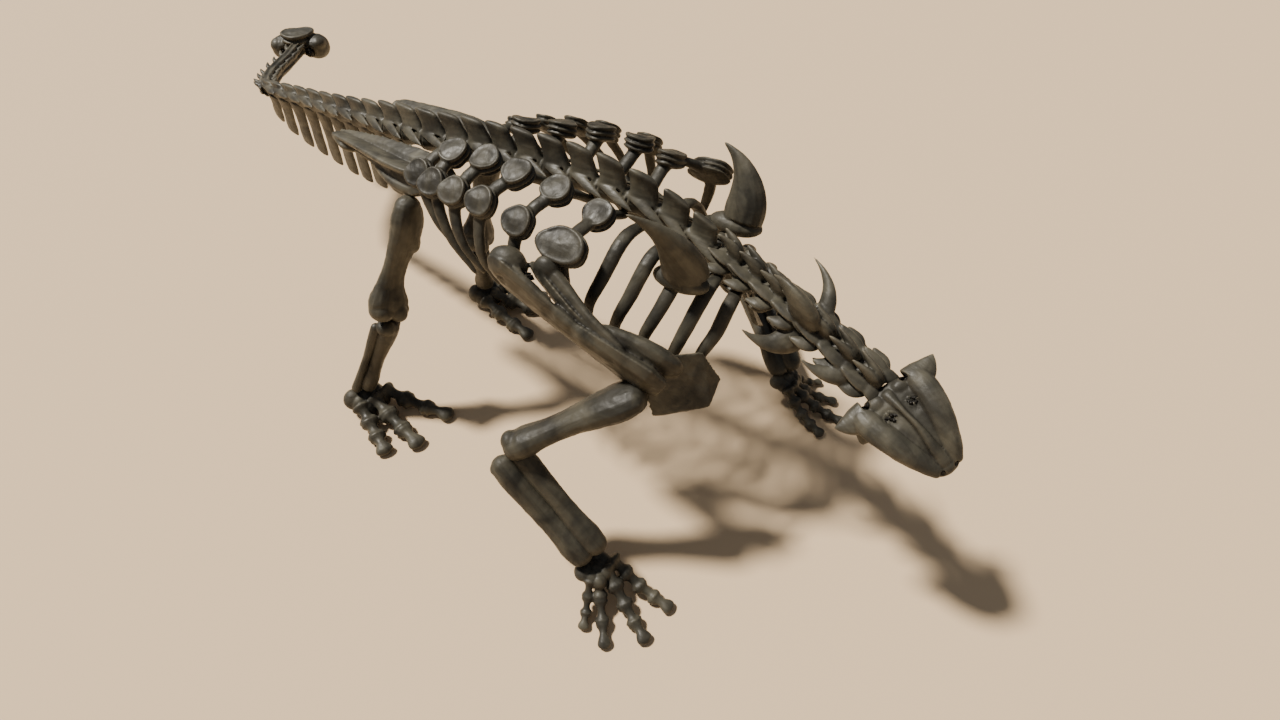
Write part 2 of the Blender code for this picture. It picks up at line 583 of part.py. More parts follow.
def hind_limb(side, stand):
    """Thigh, shin and foot of one side; the soles are flat on the ground."""
    def at(x, y, z):
        return Vector(mirrored((x, y, z), side, HIND_MIDDLE))

    name = side_name(side)
    hip = Vector(mirrored((0.020, 0.045, 1.120), side, TRUNK_MIDDLE))
    knee = at(-0.240, 0.110, 0.605)
    ankle = at(-0.410, 0.290, 0.150)
    facing = (-0.6 * side, -0.5, 0.2)
    femur = long_bone("femur_" + name, hip, knee, (0, -0.01, 0.0),
                      [0.060, 0.074, 0.068, 0.062, 0.072, 0.106, 0.090],
                      [0.050, 0.058, 0.052, 0.046, 0.050, 0.066, 0.050], (0, -1, 0.2), stand)
    shin_top = knee + (ankle - knee) * 0.11
    outward = Vector((side * 0.030, 0.020, 0))
    tibia = long_bone("tibia_" + name, shin_top - outward, ankle - outward * 0.8, (0, 0, 0),
                      [0.056, 0.052, 0.038, 0.038, 0.052, 0.044], [0.050, 0.044, 0.034, 0.032, 0.040, 0.036],
                      facing, stand, 7)
    fibula = long_bone("fibula_" + name, shin_top + outward * 1.45, ankle + outward * 1.3, (0, 0, 0),
                       [0.022, 0.020, 0.016, 0.018, 0.026], [0.024, 0.020, 0.016, 0.018, 0.024],
                       facing, stand, 5)
    foot = autopod("foot_" + name, ankle, side, 0.100, 0.150, 0.0,
                   ((0.190, -0.295, 3), (0.075, -0.410, 3), (-0.150, -0.420, 3)), 0.043, stand)
    seat(tibia, femur, fibula, foot)
    seat(fibula, femur, foot)


def fore_limb(side, stand):
    """Upper arm, forearm and hand of one side, reaching forward on the left and splayed on the right."""
    name = side_name(side)
    shoulder = shoulder_place(-0.236, -1.347, 0.874, side)
    elbow, wrist = ARM_JOINTS[side]
    elbow, wrist = Vector(elbow), Vector(wrist)
    upper = (elbow - shoulder).normalized()
    head = shoulder + upper * 0.035
    humerus = long_bone("humerus_" + name, head, elbow - upper * 0.01, (0, 0, 0.008),
                        [0.072, 0.094, 0.086, 0.072, 0.068, 0.074, 0.060],
                        [0.050, 0.062, 0.060, 0.052, 0.050, 0.058, 0.046], (side * -0.5, -0.6, 0.6), stand)
    lower = (wrist - elbow).normalized()
    apart = Vector((side * 0.489, 0.872, 0))
    apart = (apart - lower * apart.dot(lower)).normalized() * 0.048
    start = elbow + lower * 0.055
    ulna = long_bone("ulna_" + name, start + apart, wrist + apart * 0.9, (0, 0, 0),
                     [0.044, 0.048, 0.042, 0.042, 0.046, 0.038], [0.040, 0.042, 0.034, 0.030, 0.034, 0.028],
                     apart.cross(lower), stand, 7)
    radius = long_bone("radius_" + name, start - apart, wrist - apart * 0.9, (0, 0, 0),
                       [0.038, 0.038, 0.036, 0.038, 0.042, 0.034],
                       [0.034, 0.032, 0.028, 0.028, 0.032, 0.026],
                       apart.cross(lower), stand, 7)
    hand = autopod("hand_" + name, wrist, side, 0.080, 0.175, 0.085,
                   FINGER_TIPS[side], 0.034, stand)
    seat(ulna, humerus, hand)
    seat(radius, humerus, hand)
    return humerus


def digit(name, route, radius, stand):
    """One finger or toe: bones with waists between their joints, flat below where it rests."""
    bm = bmesh.new()
    points = [Vector(point) for point in route]
    sections = []
    for index in range(len(points) - 1):
        last = index == len(points) - 2
        sections.append((points[index], radius))
        sections.append((blend(points[index], points[index + 1], 0.5), radius * (0.90 if last else 0.68)))
    sections.append((points[-1], radius * 0.85))
    ahead_all = (points[-1] - points[0])
    rings = []
    for centre, size in sections:
        across = ahead_all.cross(Vector((0, 0, 1))).normalized()
        lift = across.cross(ahead_all).normalized()
        ring = oval(centre, across, lift, size, size, 5, math.radians(-126))
        rings.append([Vector((point.x, point.y, max(point.z, 0.0))) for point in ring])
    skin(bm, rings)
    return finish_piece(name, bm, stand)


def autopod(name, wrist, side, palm_half, palm_height, palm_low, tips, radius, stand):
    """A hand or foot: a wrist block with digits fused to it, flat where it rests on the ground."""
    wrist = Vector(wrist)
    bm = bmesh.new()
    sections = []
    for share, half, low, high in ((-0.50, 0.55, 0.020, 0.75), (-0.2, 0.9, 0.0, 1.0), (0.3, 1.0, 0.0, 0.90),
                                   (0.70, 0.85, 0.0, 0.70)):
        place = wrist.y - share * palm_half * 1.2
        top = palm_low + (palm_height - palm_low) * high
        bottom = palm_low + low
        middle = (top + bottom) / 2
        spots = ((half, middle), (half * 0.6, top), (-half * 0.6, top), (-half, middle),
                 (-half * 0.8, bottom), (half * 0.8, bottom))
        sections.append([Vector((wrist.x + palm_half * spot, place, height)) for spot, height in spots])
    skin(bm, sections)
    palm = finish_piece(name, bm, stand)
    for index, (tip_x, tip_y, bones) in enumerate(tips):
        tip = Vector((wrist.x + side * tip_x, wrist.y + tip_y, radius * 0.42))
        spread = 0.70 - 1.50 * index / (len(tips) - 1)
        root = Vector((wrist.x + side * palm_half * spread, wrist.y + tip_y * 0.12,
                       palm_low + (palm_height - palm_low) * 0.6))
        route = []
        for step in range(bones + 1):
            share = step / bones
            point = blend(root, tip, share)
            point.z = tip.z + (root.z - tip.z) * (1 - share) ** 2.0
            route.append(point)
        fuse(palm, digit("%s_digit_%d" % (name, index + 1), route, radius * (1.0 - 0.06 * index), stand))
    return palm


def main():
    clear_scene()
    stand = bpy.data.objects.new("skeleton", None)
    bpy.context.collection.objects.link(stand)
    stand.location = (-STANCE_CENTRE[0], -STANCE_CENTRE[1], 0.0)

    neck = column("neck_vertebrae", NECK_JOINTS, stand)
    back = column("back_vertebrae", BACK_JOINTS, stand)
    hips = column("sacrum", HIP_JOINTS, stand)
    column("tail_vertebrae", TAIL_JOINTS, stand)
    handle = column("tail_handle", HANDLE_JOINTS, stand)
    seat(handle, club(stand))
    head = skull(stand)
    seat(head, neck)
    mandible(stand)
    for side in (-1, 1):
        ribs = []
        for index, row in enumerate(RIBS[side]):
            ribs.append(rib(index + 1, side, stand))
            seat(ribs[-1], neck if row[0] < NECK_JOINTS[1] else back)
        shoulder = scapula(side, stand)
        blade = ilium(side, stand)
        seat(blade, hips, back)
        hind_limb(side, stand)
        seat(fore_limb(side, stand), *shoulder)
        base, bend, tip = SHOULDER_SPIKES[side]
        horn = spike("shoulder_spike_" + side_name(side), base, bend, tip, 0.105, 0.055, stand)
        seat(horn, back, neck, *ribs[7:10])
        for name, base, bend, tip, long_half, short_half in NECK_SPIKES[side]:
            rooted = blend(base, spine_point(base[1]), 0.45)
            fuse(neck, spike(name, rooted, bend, tip, long_half, short_half, stand))


if __name__ == "__main__":
    main()
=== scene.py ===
"""Fossil skeleton of an armoured dinosaur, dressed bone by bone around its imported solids.

+X is the animal's left, +Y runs to the tail and +Z is up. The soles of hands and feet are at Z = 0.
"""

import math

import bmesh
import bpy
from bpy.props import FloatProperty, FloatVectorProperty, PointerProperty
from bpy.types import Operator, Panel, PropertyGroup
from mathutils import Matrix, Vector


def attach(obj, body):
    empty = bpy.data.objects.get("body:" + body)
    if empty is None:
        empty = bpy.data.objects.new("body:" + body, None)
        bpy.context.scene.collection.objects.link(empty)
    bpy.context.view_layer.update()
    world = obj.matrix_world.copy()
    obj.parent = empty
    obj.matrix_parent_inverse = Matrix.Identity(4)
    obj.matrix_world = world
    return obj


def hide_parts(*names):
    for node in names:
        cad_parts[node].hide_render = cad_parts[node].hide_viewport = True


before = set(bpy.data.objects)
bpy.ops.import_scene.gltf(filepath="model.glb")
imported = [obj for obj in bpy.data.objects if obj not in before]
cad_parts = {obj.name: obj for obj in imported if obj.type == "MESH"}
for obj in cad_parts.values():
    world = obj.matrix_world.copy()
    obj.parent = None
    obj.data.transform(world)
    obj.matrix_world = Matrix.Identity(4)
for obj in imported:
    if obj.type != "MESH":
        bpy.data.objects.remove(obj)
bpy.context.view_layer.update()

bl_info = {
    "name": "Armoured Dinosaur Skeleton",
    "version": (1, 0, 0),
    "blender": (4, 5, 0),
    "location": "View3D > Sidebar > Skeleton",
    "description": "Builds the bones, their armour and the stage of a mounted fossil skeleton",
    "category": "Object",
}


def mm(value):
    """Metres from millimetres, for a number or a nested row of them."""
    if isinstance(value, dict):
        return {key: mm(part) for key, part in value.items()}
    return value / 1000 if isinstance(value, (int, float)) else tuple(mm(part) for part in value)


# Sizes and places in metres, but in millimetres inside mm() and in the tables that say so

SHIFT = Vector((-0.3119, -0.0923, 0.0))  # from the middle of the trunk's own axes to the middle of the box
SPINE_ROUTE = mm((  # middle of the vertebrae, skull to tail club
    (90, -2100, 945), (145, -1930, 995), (195, -1760, 1045), (255, -1560, 1085),
    (300, -1360, 1130), (310, -1200, 1180), (310, -1050, 1235), (300, -900, 1270),
    (300, -640, 1295), (300, -385, 1295), (300, -120, 1285), (310, 130, 1260),
    (360, 430, 1225), (420, 760, 1180), (490, 1080, 1130), (555, 1400, 1090),
    (625, 1740, 1045), (700, 1900, 1015), (880, 2080, 990), (1120, 2240, 975),
    (1360, 2400, 970)))
COLUMNS = {  # first joint, last joint along Y, number of vertebrae
    "neck_vertebrae": (-2.085, -1.33, 7), "back_vertebrae": (-1.33, -0.01, 10),
    "sacrum": (-0.01, 0.6, 4), "tail_vertebrae": (0.6, 1.82, 8), "tail_handle": (1.82, 2.345, 4)}
NECK_ROLL = 25.0  # degrees, the head's left side is carried higher
ROLL_FROM = -1.45
RIM = ((-2.02, 0.038), (-1.33, 0.046), (-0.9, 0.054), (0.3, 0.056), (1.0, 0.046), (1.8, 0.032), (2.4, 0.03))
SPINE_RISE = ((-2.0, 0.06), (-1.33, 0.075), (-0.85, 0.115), (0.2, 0.1), (0.5, 0.074), (0.9, 0.056),
              (1.5, 0.036), (1.84, 0.02), (2.4, 0.014))
SPINE_LEAN = ((-2.0, 0.02), (-1.2, 0.035), (-0.6, 0.055), (1.8, 0.06), (1.9, 0.03))
CHEVRON_DROP = ((0.3, 0.0), (0.5, 0.33), (0.9, 0.33), (1.5, 0.245), (1.82, 0.115), (2.4, 0.03))
RIBS = mm({  # root along Y, then the points that the rib runs through
    -1: ((-100, (170, -100, 1330), (35, -72, 1270), (-30, -160, 1130), (-60, -300, 1000)),
         (-230, (129, -197, 1350), (-20, -203, 1290), (-100, -290, 1140), (-125, -430, 985)),
         (-430, (110, -385, 1372), (-50, -342, 1305), (-140, -400, 1170), (-155, -510, 1040)),
         (-600, (80, -564, 1376), (-62, -490, 1312), (-160, -520, 1160), (-165, -590, 1020)),
         (-780, (90, -740, 1350), (-86, -682, 1296), (-170, -680, 1130), (-160, -690, 970)),
         (-940, (119, -903, 1275), (-84, -874, 1250), (-130, -895, 1080), (-120, -900, 930)),
         (-1030, (80, -1035, 1245), (-50, -1010, 1130), (-100, -979, 1030), (-80, -950, 850)),
         (-1176, (83, -1165, 1220), (-47, -1135, 1100), (-102, -1095, 975), (-67, -1065, 800)),
         (-1286, (103, -1275, 1160), (-27, -1250, 1060), (-82, -1210, 939), (-37, -1185, 780)),
         (-1386, (123, -1380, 1110), (3, -1360, 1010), (-52, -1325, 880), (-7, -1295, 760)),
         (-1478, (127, -1470, 1060), (47, -1460, 980), (-8, -1425, 890), (17, -1400, 790))),
    1: ((-150, (440, -175, 1315), (565, -172, 1270), (630, -260, 1130), (660, -400, 1000)),
        (-270, (471, -300, 1350), (620, -300, 1290), (700, -390, 1140), (725, -530, 985)),
        (-450, (490, -488, 1370), (650, -440, 1305), (740, -500, 1170), (755, -610, 1040)),
        (-630, (520, -665, 1382), (662, -600, 1312), (760, -620, 1160), (765, -690, 1020)),
        (-800, (530, -850, 1375), (690, -800, 1290), (770, -780, 1130), (760, -790, 970)),
        (-980, (550, -985, 1330), (680, -1110, 1245), (745, -1080, 1060), (730, -1030, 930)),
        (-1090, (500, -1110, 1200), (600, -1130, 1080), (650, -1120, 960), (640, -1080, 800)),
        (-1195, (500, -1215, 1150), (610, -1215, 1040), (660, -1190, 930), (640, -1160, 770)),
        (-1300, (490, -1300, 1120), (600, -1265, 1020), (660, -1225, 910), (620, -1200, 760)),
        (-1400, (470, -1400, 1080), (580, -1375, 980), (630, -1340, 860), (590, -1310, 740)),
        (-1500, (450, -1510, 1040), (530, -1490, 960), (585, -1455, 870), (560, -1430, 770)))})
PLATED_RIBS = 6
SHOULDER_SPIKES = mm({  # base, bend and tip
    -1: ((65, -1315, 1175), (20, -1300, 1380), (-45, -1120, 1450)),
    1: ((500, -1350, 1180), (565, -1370, 1380), (600, -1200, 1450))})
NECK_SPIKES = mm((  # base, bend, tip, half length and half width of the base
    ((180, -1740, 990), (60, -1700, 950), (60, -1550, 1030), 62, 40),
    ((105, -1965, 975), (20, -1915, 955), (45, -1792, 1005), 52, 36),
    ((150, -1770, 1090), (130, -1700, 1240), (205, -1597, 1205), 75, 40),
    ((245, -1800, 1070), (305, -1830, 1170), (390, -1683, 1203), 37, 26),
    ((290, -1720, 1020), (400, -1690, 1000), (420, -1560, 1050), 60, 35),
    ((200, -1960, 980), (300, -1930, 980), (300, -1800, 1010), 60, 35)))
SKULL_AT = (0.067, -2.1, 0.97)  # midway between the two rear horns
SKULL_NOSE = (-0.072, -2.392, 0.878)
SKULL_LEFT_HORN = (0.214, -2.206, 1.07)
TRUNK_MIDDLE = 0.3  # plane that the left and right sides of the trunk mirror in
HIND_MIDDLE = 0.095  # the same for knees and feet, because the trunk leans to its left
LEFT_SHOULDER_DROP = Vector((-0.06, 0.05, -0.2))
ARM_JOINTS = mm({  # elbow and wrist of each side
    -1: ((-594, -858, 580), (-655, -1305, 215)),
    1: ((1240, -1200, 310), (752, -1626, 190))})
FINGER_TIPS = {  # outward and forward from the wrist, and number of bones
    -1: ((0.2, -0.058, 3), (0.22, -0.173, 3), (0.12, -0.303, 4), (-0.045, -0.328, 4)),
    1: ((0.19, -0.15, 3), (0.089, -0.266, 3), (-0.03, -0.34, 4), (-0.163, -0.265, 4))}
TOE_TIPS = ((0.19, -0.295, 3), (0.075, -0.41, 3), (-0.15, -0.42, 3))
DIGIT_SIZES = {4: (0.72, 0.84, 1.02, 1.0), 3: (1.0, 1.04, 1.0)}  # of a hand and of a foot
BAR_RINGS = 28
BAR_SIDES = 14
BUTTON_RINGS = (  # radius and height of a round plate's rings, for a plate of radius 1
    (0.55, -0.75), (0.8, -0.66), (0.94, -0.54), (0.98, -0.44), (0.9, -0.38), (0.8, -0.34), (0.8, -0.26),
    (0.94, -0.2), (1.0, -0.1), (0.98, -0.02), (0.84, 0.04), (0.8, 0.12), (0.9, 0.2), (0.95, 0.3), (0.93, 0.4),
    (0.85, 0.46), (0.75, 0.41), (0.56, 0.42), (0.34, 0.47), (0.05, 0.49))

SKULL_MIDDLE = (  # points left, back and up from the horns, widths and depths, all in mm
    (((0, 20, -12), (0, -60, 0), (0, -140, 2), (0, -220, -10), (0, -290, -40), (0, -335, -58)),
     (80, 122, 122, 98, 66, 44), (20, 20, 16, 14, 14, 16)),
    (((0, 10, -45), (0, -80, -50), (0, -170, -52), (0, -260, -58), (0, -325, -68)),
     (62, 98, 102, 84, 50), (44, 50, 48, 42, 30)),
    (((0, 0, 8), (0, -80, 20), (4, -160, 16), (0, -240, 0), (0, -320, -36)),
     (24, 14, 11, 14, 20, 26), (14, 16, 18, 16, 14, 12)))
SKULL_SIDE = (  # brow, rear horn, cheek horn and tooth row in the same way, and how blunt each is
    (((106, 0, -8), (116, -50, 4), (102, -130, 8), (78, -210, -4), (52, -280, -28), (28, -328, -54)),
     (36, 48, 48, 42, 34, 24), (24, 32, 34, 31, 26, 18), 0.06),
    (((95, -30, -6), (150, -22, -8), (186, -10, -4), (216, 4, -2)), (60, 48, 28, 2), (32, 26, 14, 2), 0.03),
    (((108, -60, -50), (140, -75, -78), (168, -90, -100)), (46, 36, 8), (24, 16, 6), 0.06),
    (((100, -75, -85), (96, -160, -90), (72, -250, -88), (40, -318, -84)),
     (18, 20, 20, 18), (20, 24, 22, 16), 0.06))
SNOUT_LUMPS = (  # places and half sizes in mm
    ((0, -316, -62), (50, 30, 36)), ((0, -330, -80), (30, 16, 22)))
NECK_LUMPS = (  # beside the neck joint, and at the root of each rear horn
    ((50, -18, 4), (34, 26, 18)), ((132, -12, 6), (18, 16, 14)))
SKULL_PITS = (  # place, reach and depth in mm of eye, nostril, neck, brow and cheek pits
    ((140, -145, -34), 40, 26), ((30, -332, -40), 16, 12), ((82, -4, 4), 22, 14), ((46, -90, 20), 45, 8),
    ((150, -40, -30), 30, 12))
MANDIBLE_SIDE = (  # jaw bow and the ridge under it, in mm
    (((100, -55, -122), (108, -110, -140), (98, -180, -140), (70, -255, -130), (26, -315, -116)),
     (14, 18, 18, 16, 16), (18, 27, 26, 20, 12), 0.06),
    (((98, -70, -135), (114, -120, -160), (100, -190, -156)), (10, 13, 8), (12, 15, 10), 0.06))
SCAPULA_BARS = (  # upper lobe, lower lobe and thick shoulder end in mm, and how blunt each is
    (((-226, -700, 1188), (-254, -860, 1112), (-272, -1050, 1028), (-266, -1230, 950)),
     (76, 78, 62, 56, 50), (36, 32, 26, 24, 20), 0.12),
    (((-156, -850, 1184), (-188, -950, 1128), (-228, -1080, 1058), (-248, -1230, 980)),
     (44, 50, 52, 60, 60), (36, 30, 26, 26, 22), 0.12),
    (((-218, -1080, 1046), (-196, -1200, 1004), (-176, -1300, 958), (-140, -1400, 890)),
     (40, 62, 78, 92, 96, 80), (26, 36, 44, 50, 46, 30), 0.14))
SCAPULA_PITS = (  # place, reach and depth in mm
    ((-230, -800, 1180), 50, 20), ((-268, -930, 1110), 45, 14), ((-276, -1030, 1068), 42, 10),
    ((-262, -700, 1160), 36, 10), ((-150, -1500, 860), 70, 10))
ILIUM_BARS = (  # roof, rear end and the ridge below in mm, and how blunt each is
    (((216, 660, 1200), (195, 520, 1206), (160, 330, 1210), (125, 150, 1212), (112, 0, 1216),
      (125, -150, 1226)),
     (62, 72, 84, 94, 98, 90, 60), (18, 22, 26, 29, 30, 26, 14), 0.1),
    (((232, 655, 1204), (198, 600, 1194), (150, 500, 1184)), (50, 58, 50), (16, 22, 20), 0.2),
    (((130, 340, 1176), (75, 180, 1155), (58, 40, 1155), (90, -90, 1195)),
     (20, 34, 36, 22), (16, 26, 30, 16), 0.1))
FLOOR_SIZE = 60.0
SUN_DIRECTION = (0.0875, -0.511, -0.855)
CAMERA_PLACE = (-1.665, -2.085)  # over the trunk's own axes
LOWEST_POINT = 0.0004  # that hands and feet keep over the floor
SIDES = (-1, 1)  # right and left
TAILWARD, UP = Vector((0, 1, 0)), Vector((0, 0, 1))
WINGS = {"back_vertebrae": 0.084, "sacrum": 0.086, "tail_vertebrae": 0.068}  # reach of the side wings
UPPER_PLATE, LOWER_PLATE = 0.25, 0.5  # shares of a rib's length that carry round plates
KNEE = (-0.24, 0.11, 0.605)  # of the right hind limb
ANKLE = (-0.41, 0.29, 0.15)
WRIST_ROWS = ((-0.32, 2, 0.54), (0.02, 3, 0.48), (0.42, 3, 0.44))  # place, count and size of the bones
DIGIT_BONE = ((0.75, 0.95, 0.58, 0.5, 0.62, 0.95, 0.75), (0.75, 0.88, 0.56, 0.46, 0.56, 0.86, 0.7))
LAST_BONE = ((0.7, 0.92, 0.62, 0.54, 0.8, 0.92, 0.55), (0.7, 0.85, 0.58, 0.48, 0.55, 0.52, 0.3))
UNIT_SHAPES = {}  # meshes of the unit shapes, by the function that models each


# Settings

def colour(name, description, default):
    return FloatVectorProperty(name=name, description=description, subtype="COLOR", default=default,
                               min=0.0, max=1.0)


class BoneSettings(PropertyGroup):
    grid: FloatProperty(name="Bone grid", description="Size of the faces of the large bones",
                        default=0.0052, min=0.002, max=0.02, unit="LENGTH")
    fine_grid: FloatProperty(name="Fine grid", description="Size of the faces of skull, hands and vertebrae",
                             default=0.0043, min=0.002, max=0.02, unit="LENGTH")
    rough: FloatProperty(name="Unevenness", description="Height of the bone's gentle unevenness",
                         default=0.0035, min=0.0, max=0.02, unit="LENGTH")
    face_colour: colour("Bone", "Colour of the open faces of the bone", (0.087, 0.08, 0.059))
    # Dark colour of the streaks along the bone, also painted as shade into pits and creases
    streak_and_painted_shade_colour: colour("Streaks and painted shade", "Colour in grooves and pits", (0.012, 0.01, 0.008))
    edge_colour: colour("Edges", "Colour of worn edges", (0.184, 0.16, 0.114))
    warm_colour: colour("Iron stain", "Colour of the brown patches", (0.073, 0.06, 0.041))
    gloss: FloatProperty(name="Roughness", description="How matt the open faces are",
                         default=0.46, min=0.0, max=1.0, subtype="FACTOR")


class StageSettings(PropertyGroup):
    floor_colour: colour("Floor", "Colour of the plain floor", (0.78, 0.58, 0.37))
    key: FloatProperty(name="Key light", description="Strength of the light from behind the tail",
                       default=5.8, min=0.0, max=20.0)
    key_spread: FloatProperty(name="Key softness", description="Angle that the key light spans",
                              default=math.radians(7), min=0.0, max=1.5, subtype="ANGLE")
    fill: FloatProperty(name="Fill", description="Strength of the light from all round",
                        default=0.18, min=0.0, max=5.0)
    camera_height: FloatProperty(name="Camera height", description="Height of the camera over the soles",
                                 default=2.66, unit="LENGTH")
    heading: FloatProperty(name="Heading", description="Turn of the view from +X towards +Y",
                           default=math.radians(29.3), subtype="ANGLE")
    pitch: FloatProperty(name="Pitch", description="How far the camera looks down",
                         default=math.radians(45.5), subtype="ANGLE")
    lens: FloatProperty(name="Lens", description="Focal length in millimetres", default=18.0)


# Curves that the bones follow

def along(table, place):
    """Read a table of (place, value) pairs by straight lines between its rows."""
    if place <= table[0][0]:
        return table[0][1]
    for (start, low), (end, high) in zip(table, table[1:]):
        if place <= end:
            return low + (high - low) * (place - start) / (end - start)
    return table[-1][1]


def hermite(points, place, axis):
    """Smooth value of one coordinate along a route whose Y always grows."""
    last = len(points) - 2
    index = 0
    while index < last and place > points[index + 1][1]:
        index += 1
    before = points[max(index - 1, 0)]
    start, end = points[index], points[index + 1]
    after = points[min(index + 2, last + 1)]
    span = end[1] - start[1]
    t = (place - start[1]) / span
    slope_in = (end[axis] - before[axis]) / max(end[1] - before[1], 1e-6) * span
    slope_out = (after[axis] - start[axis]) / max(after[1] - start[1], 1e-6) * span
    return ((2 * t ** 3 - 3 * t ** 2 + 1) * start[axis] + (t ** 3 - 2 * t ** 2 + t) * slope_in
            + (3 * t ** 2 - 2 * t ** 3) * end[axis] + (t ** 3 - t ** 2) * slope_out)


def spine_point(place):
    return Vector((hermite(SPINE_ROUTE, place, 0), place, hermite(SPINE_ROUTE, place, 2)))


def spine_frame(place):
    """Centre, tailward, left and up directions of the spine at a place along Y."""
    step = 0.01
    tailward = (spine_point(place + step) - spine_point(place - step)).normalized()
    left = tailward.cross(UP).normalized()
    up = left.cross(tailward).normalized()
    share = min(max((ROLL_FROM - place) / (ROLL_FROM - SPINE_ROUTE[0][1]), 0.0), 1.0)
    roll = Matrix.Rotation(-math.radians(NECK_ROLL) * share, 3, tailward)
    return spine_point(place), tailward, roll @ left, roll @ up


def through(points, share):
    """A smooth curve through points or numbers, read by a share of their count."""
    place = share * (len(points) - 1)
    index = min(max(int(place), 0), len(points) - 2)
    t = place - index
    start, end = points[index], points[index + 1]
    before = points[index - 1] if index else start * 2 - end
    after = points[index + 2] if index + 2 < len(points) else end * 2 - start
    return (start * 2 + (end - before) * t + (before * 2 - start * 5 + end * 4 - after) * t ** 2
            + (start * 3 - before - end * 3 + after) * t ** 3) / 2


def mirrored(point, side, middle):
    """Take a point of the right side, and give its place on the wanted side of a middle plane."""
    return Vector((middle + side * (middle - point[0]), point[1], point[2]))


def side_name(side):
    return "left" if side > 0 else "right"


# Modelling helpers

def settings():
    return bpy.context.scene.bone_settings


def fresh(adder, **sizes):
    """Add a primitive while nothing else is selected."""
    bpy.ops.object.select_all(action="DESELECT")
    adder(**sizes)
    return bpy.context.object


def pick(test):
    """In edit mode, select the faces whose centre and normal pass a test."""
    mesh = bpy.context.object.data
    shape = bmesh.from_edit_mesh(mesh)
    for face in shape.faces:
        face.select_set(test(face.calc_center_median(), face.normal))
    shape.select_flush_mode()
    bmesh.update_edit_mesh(mesh)


def apply(kind, **values):
    """Add a modifier to the active object, set it and apply it."""
    bpy.ops.object.modifier_add(type=kind)
    modifier = bpy.context.object.modifiers[-1]
    for name, value in values.items():
        setattr(modifier, name, value)
    bpy.ops.object.modifier_apply(modifier=modifier.name)


def added(name, mesh):
    made = bpy.data.objects.new(name, mesh)
    bpy.context.collection.objects.link(made)
    return made


def twin(model):
    """A copy, with a mesh of its own, of a unit shape that is modelled once."""
    if model not in UNIT_SHAPES:
        shape = model()
        UNIT_SHAPES[model] = shape.data
        bpy.data.objects.remove(shape)
    return added(model.__name__, UNIT_SHAPES[model].copy())


def raise_rings(radius, height, rings):
    """Extrude the active disc upwards through rings of a radius and a height, and close the shape."""
    bpy.ops.object.mode_set(mode="EDIT")
    bpy.ops.mesh.select_all(action="SELECT")
    for wide, level in rings:
        bpy.ops.mesh.extrude_region_move(TRANSFORM_OT_translate={"value": (0, 0, level - height)})
        if wide != radius:
            scale = wide / radius
            bpy.ops.transform.resize(value=(scale, scale, 1.0), center_override=(0, 0, level))
        radius, height = wide, level
    bpy.ops.mesh.select_all(action="SELECT")
    bpy.ops.mesh.normals_make_consistent(inside=False)
    bpy.ops.object.mode_set(mode="OBJECT")


def unit_bar():
    """A round bar from z = 0 to 1, its rings closer together near its ends."""
    bar = fresh(bpy.ops.mesh.primitive_circle_add, vertices=BAR_SIDES, radius=1.0, fill_type="NGON")
    raise_rings(1.0, 0.0, [(1.0, 0.5 - 0.5 * math.cos(math.pi * ring / BAR_RINGS))
                           for ring in range(1, BAR_RINGS + 1)])
    return bar


def unit_ball():
    return fresh(bpy.ops.mesh.primitive_uv_sphere_add, segments=20, ring_count=12, radius=1.0)


def unit_tile():
    """A spine plate: dished sides within a thick rim, broader at its crest; x and y -0.5 to 0.5, z 0 to 1."""
    tile = fresh(bpy.ops.mesh.primitive_cube_add, size=1.0, location=(0, 0, 0.5))
    bpy.ops.object.transform_apply(location=True, rotation=True, scale=True)
    bpy.ops.object.mode_set(mode="EDIT")
    bpy.ops.mesh.select_all(action="SELECT")
    bpy.ops.mesh.bisect(plane_co=(0, 0, 0.8), plane_no=(0, 0, 1))
    bpy.ops.mesh.select_all(action="SELECT")
    bpy.ops.mesh.bisect(plane_co=(0, 0, 0.3), plane_no=(0, 0, 1))
    pick(lambda centre, normal: normal.z > 0.9)
    bpy.ops.transform.resize(value=(1.5, 1.0, 1.0))
    for side in (-1, 1):
        pick(lambda centre, normal: normal.x * side > 0.8 and centre.z < 0.8)
        bpy.ops.mesh.inset(thickness=0.07, depth=0.0)
        bpy.ops.mesh.inset(thickness=0.09, depth=-0.28)
        bpy.ops.mesh.inset(thickness=0.12, depth=-0.04)
    bpy.ops.object.mode_set(mode="OBJECT")
    apply("SUBSURF", levels=2, render_levels=2)
    return tile


def unit_button():
    """A round plate of armour: three thin lips round its wall and a shallow dish on top; radius 1."""
    radius, height = BUTTON_RINGS[0]
    button = fresh(bpy.ops.mesh.primitive_circle_add, vertices=36, radius=radius, fill_type="NGON",
                   location=(0, 0, height))
    bpy.ops.object.transform_apply(location=True, rotation=True, scale=True)
    raise_rings(radius, height, BUTTON_RINGS[1:])
    for vertex in button.data.vertices:
        x, y, z = vertex.co
        turn, out = math.atan2(y, x), math.hypot(x, y)
        swell = 1.0 + 0.034 * math.sin(3 * turn + 0.5) + 0.014 * math.sin(5 * turn + 2.0)
        wave = 0.06 * out * math.sin(2 * turn + 1.0) + 0.016 * out * math.sin(5 * turn + 4 * z)
        vertex.co = (x * swell, y * swell, z + wave)
    return button


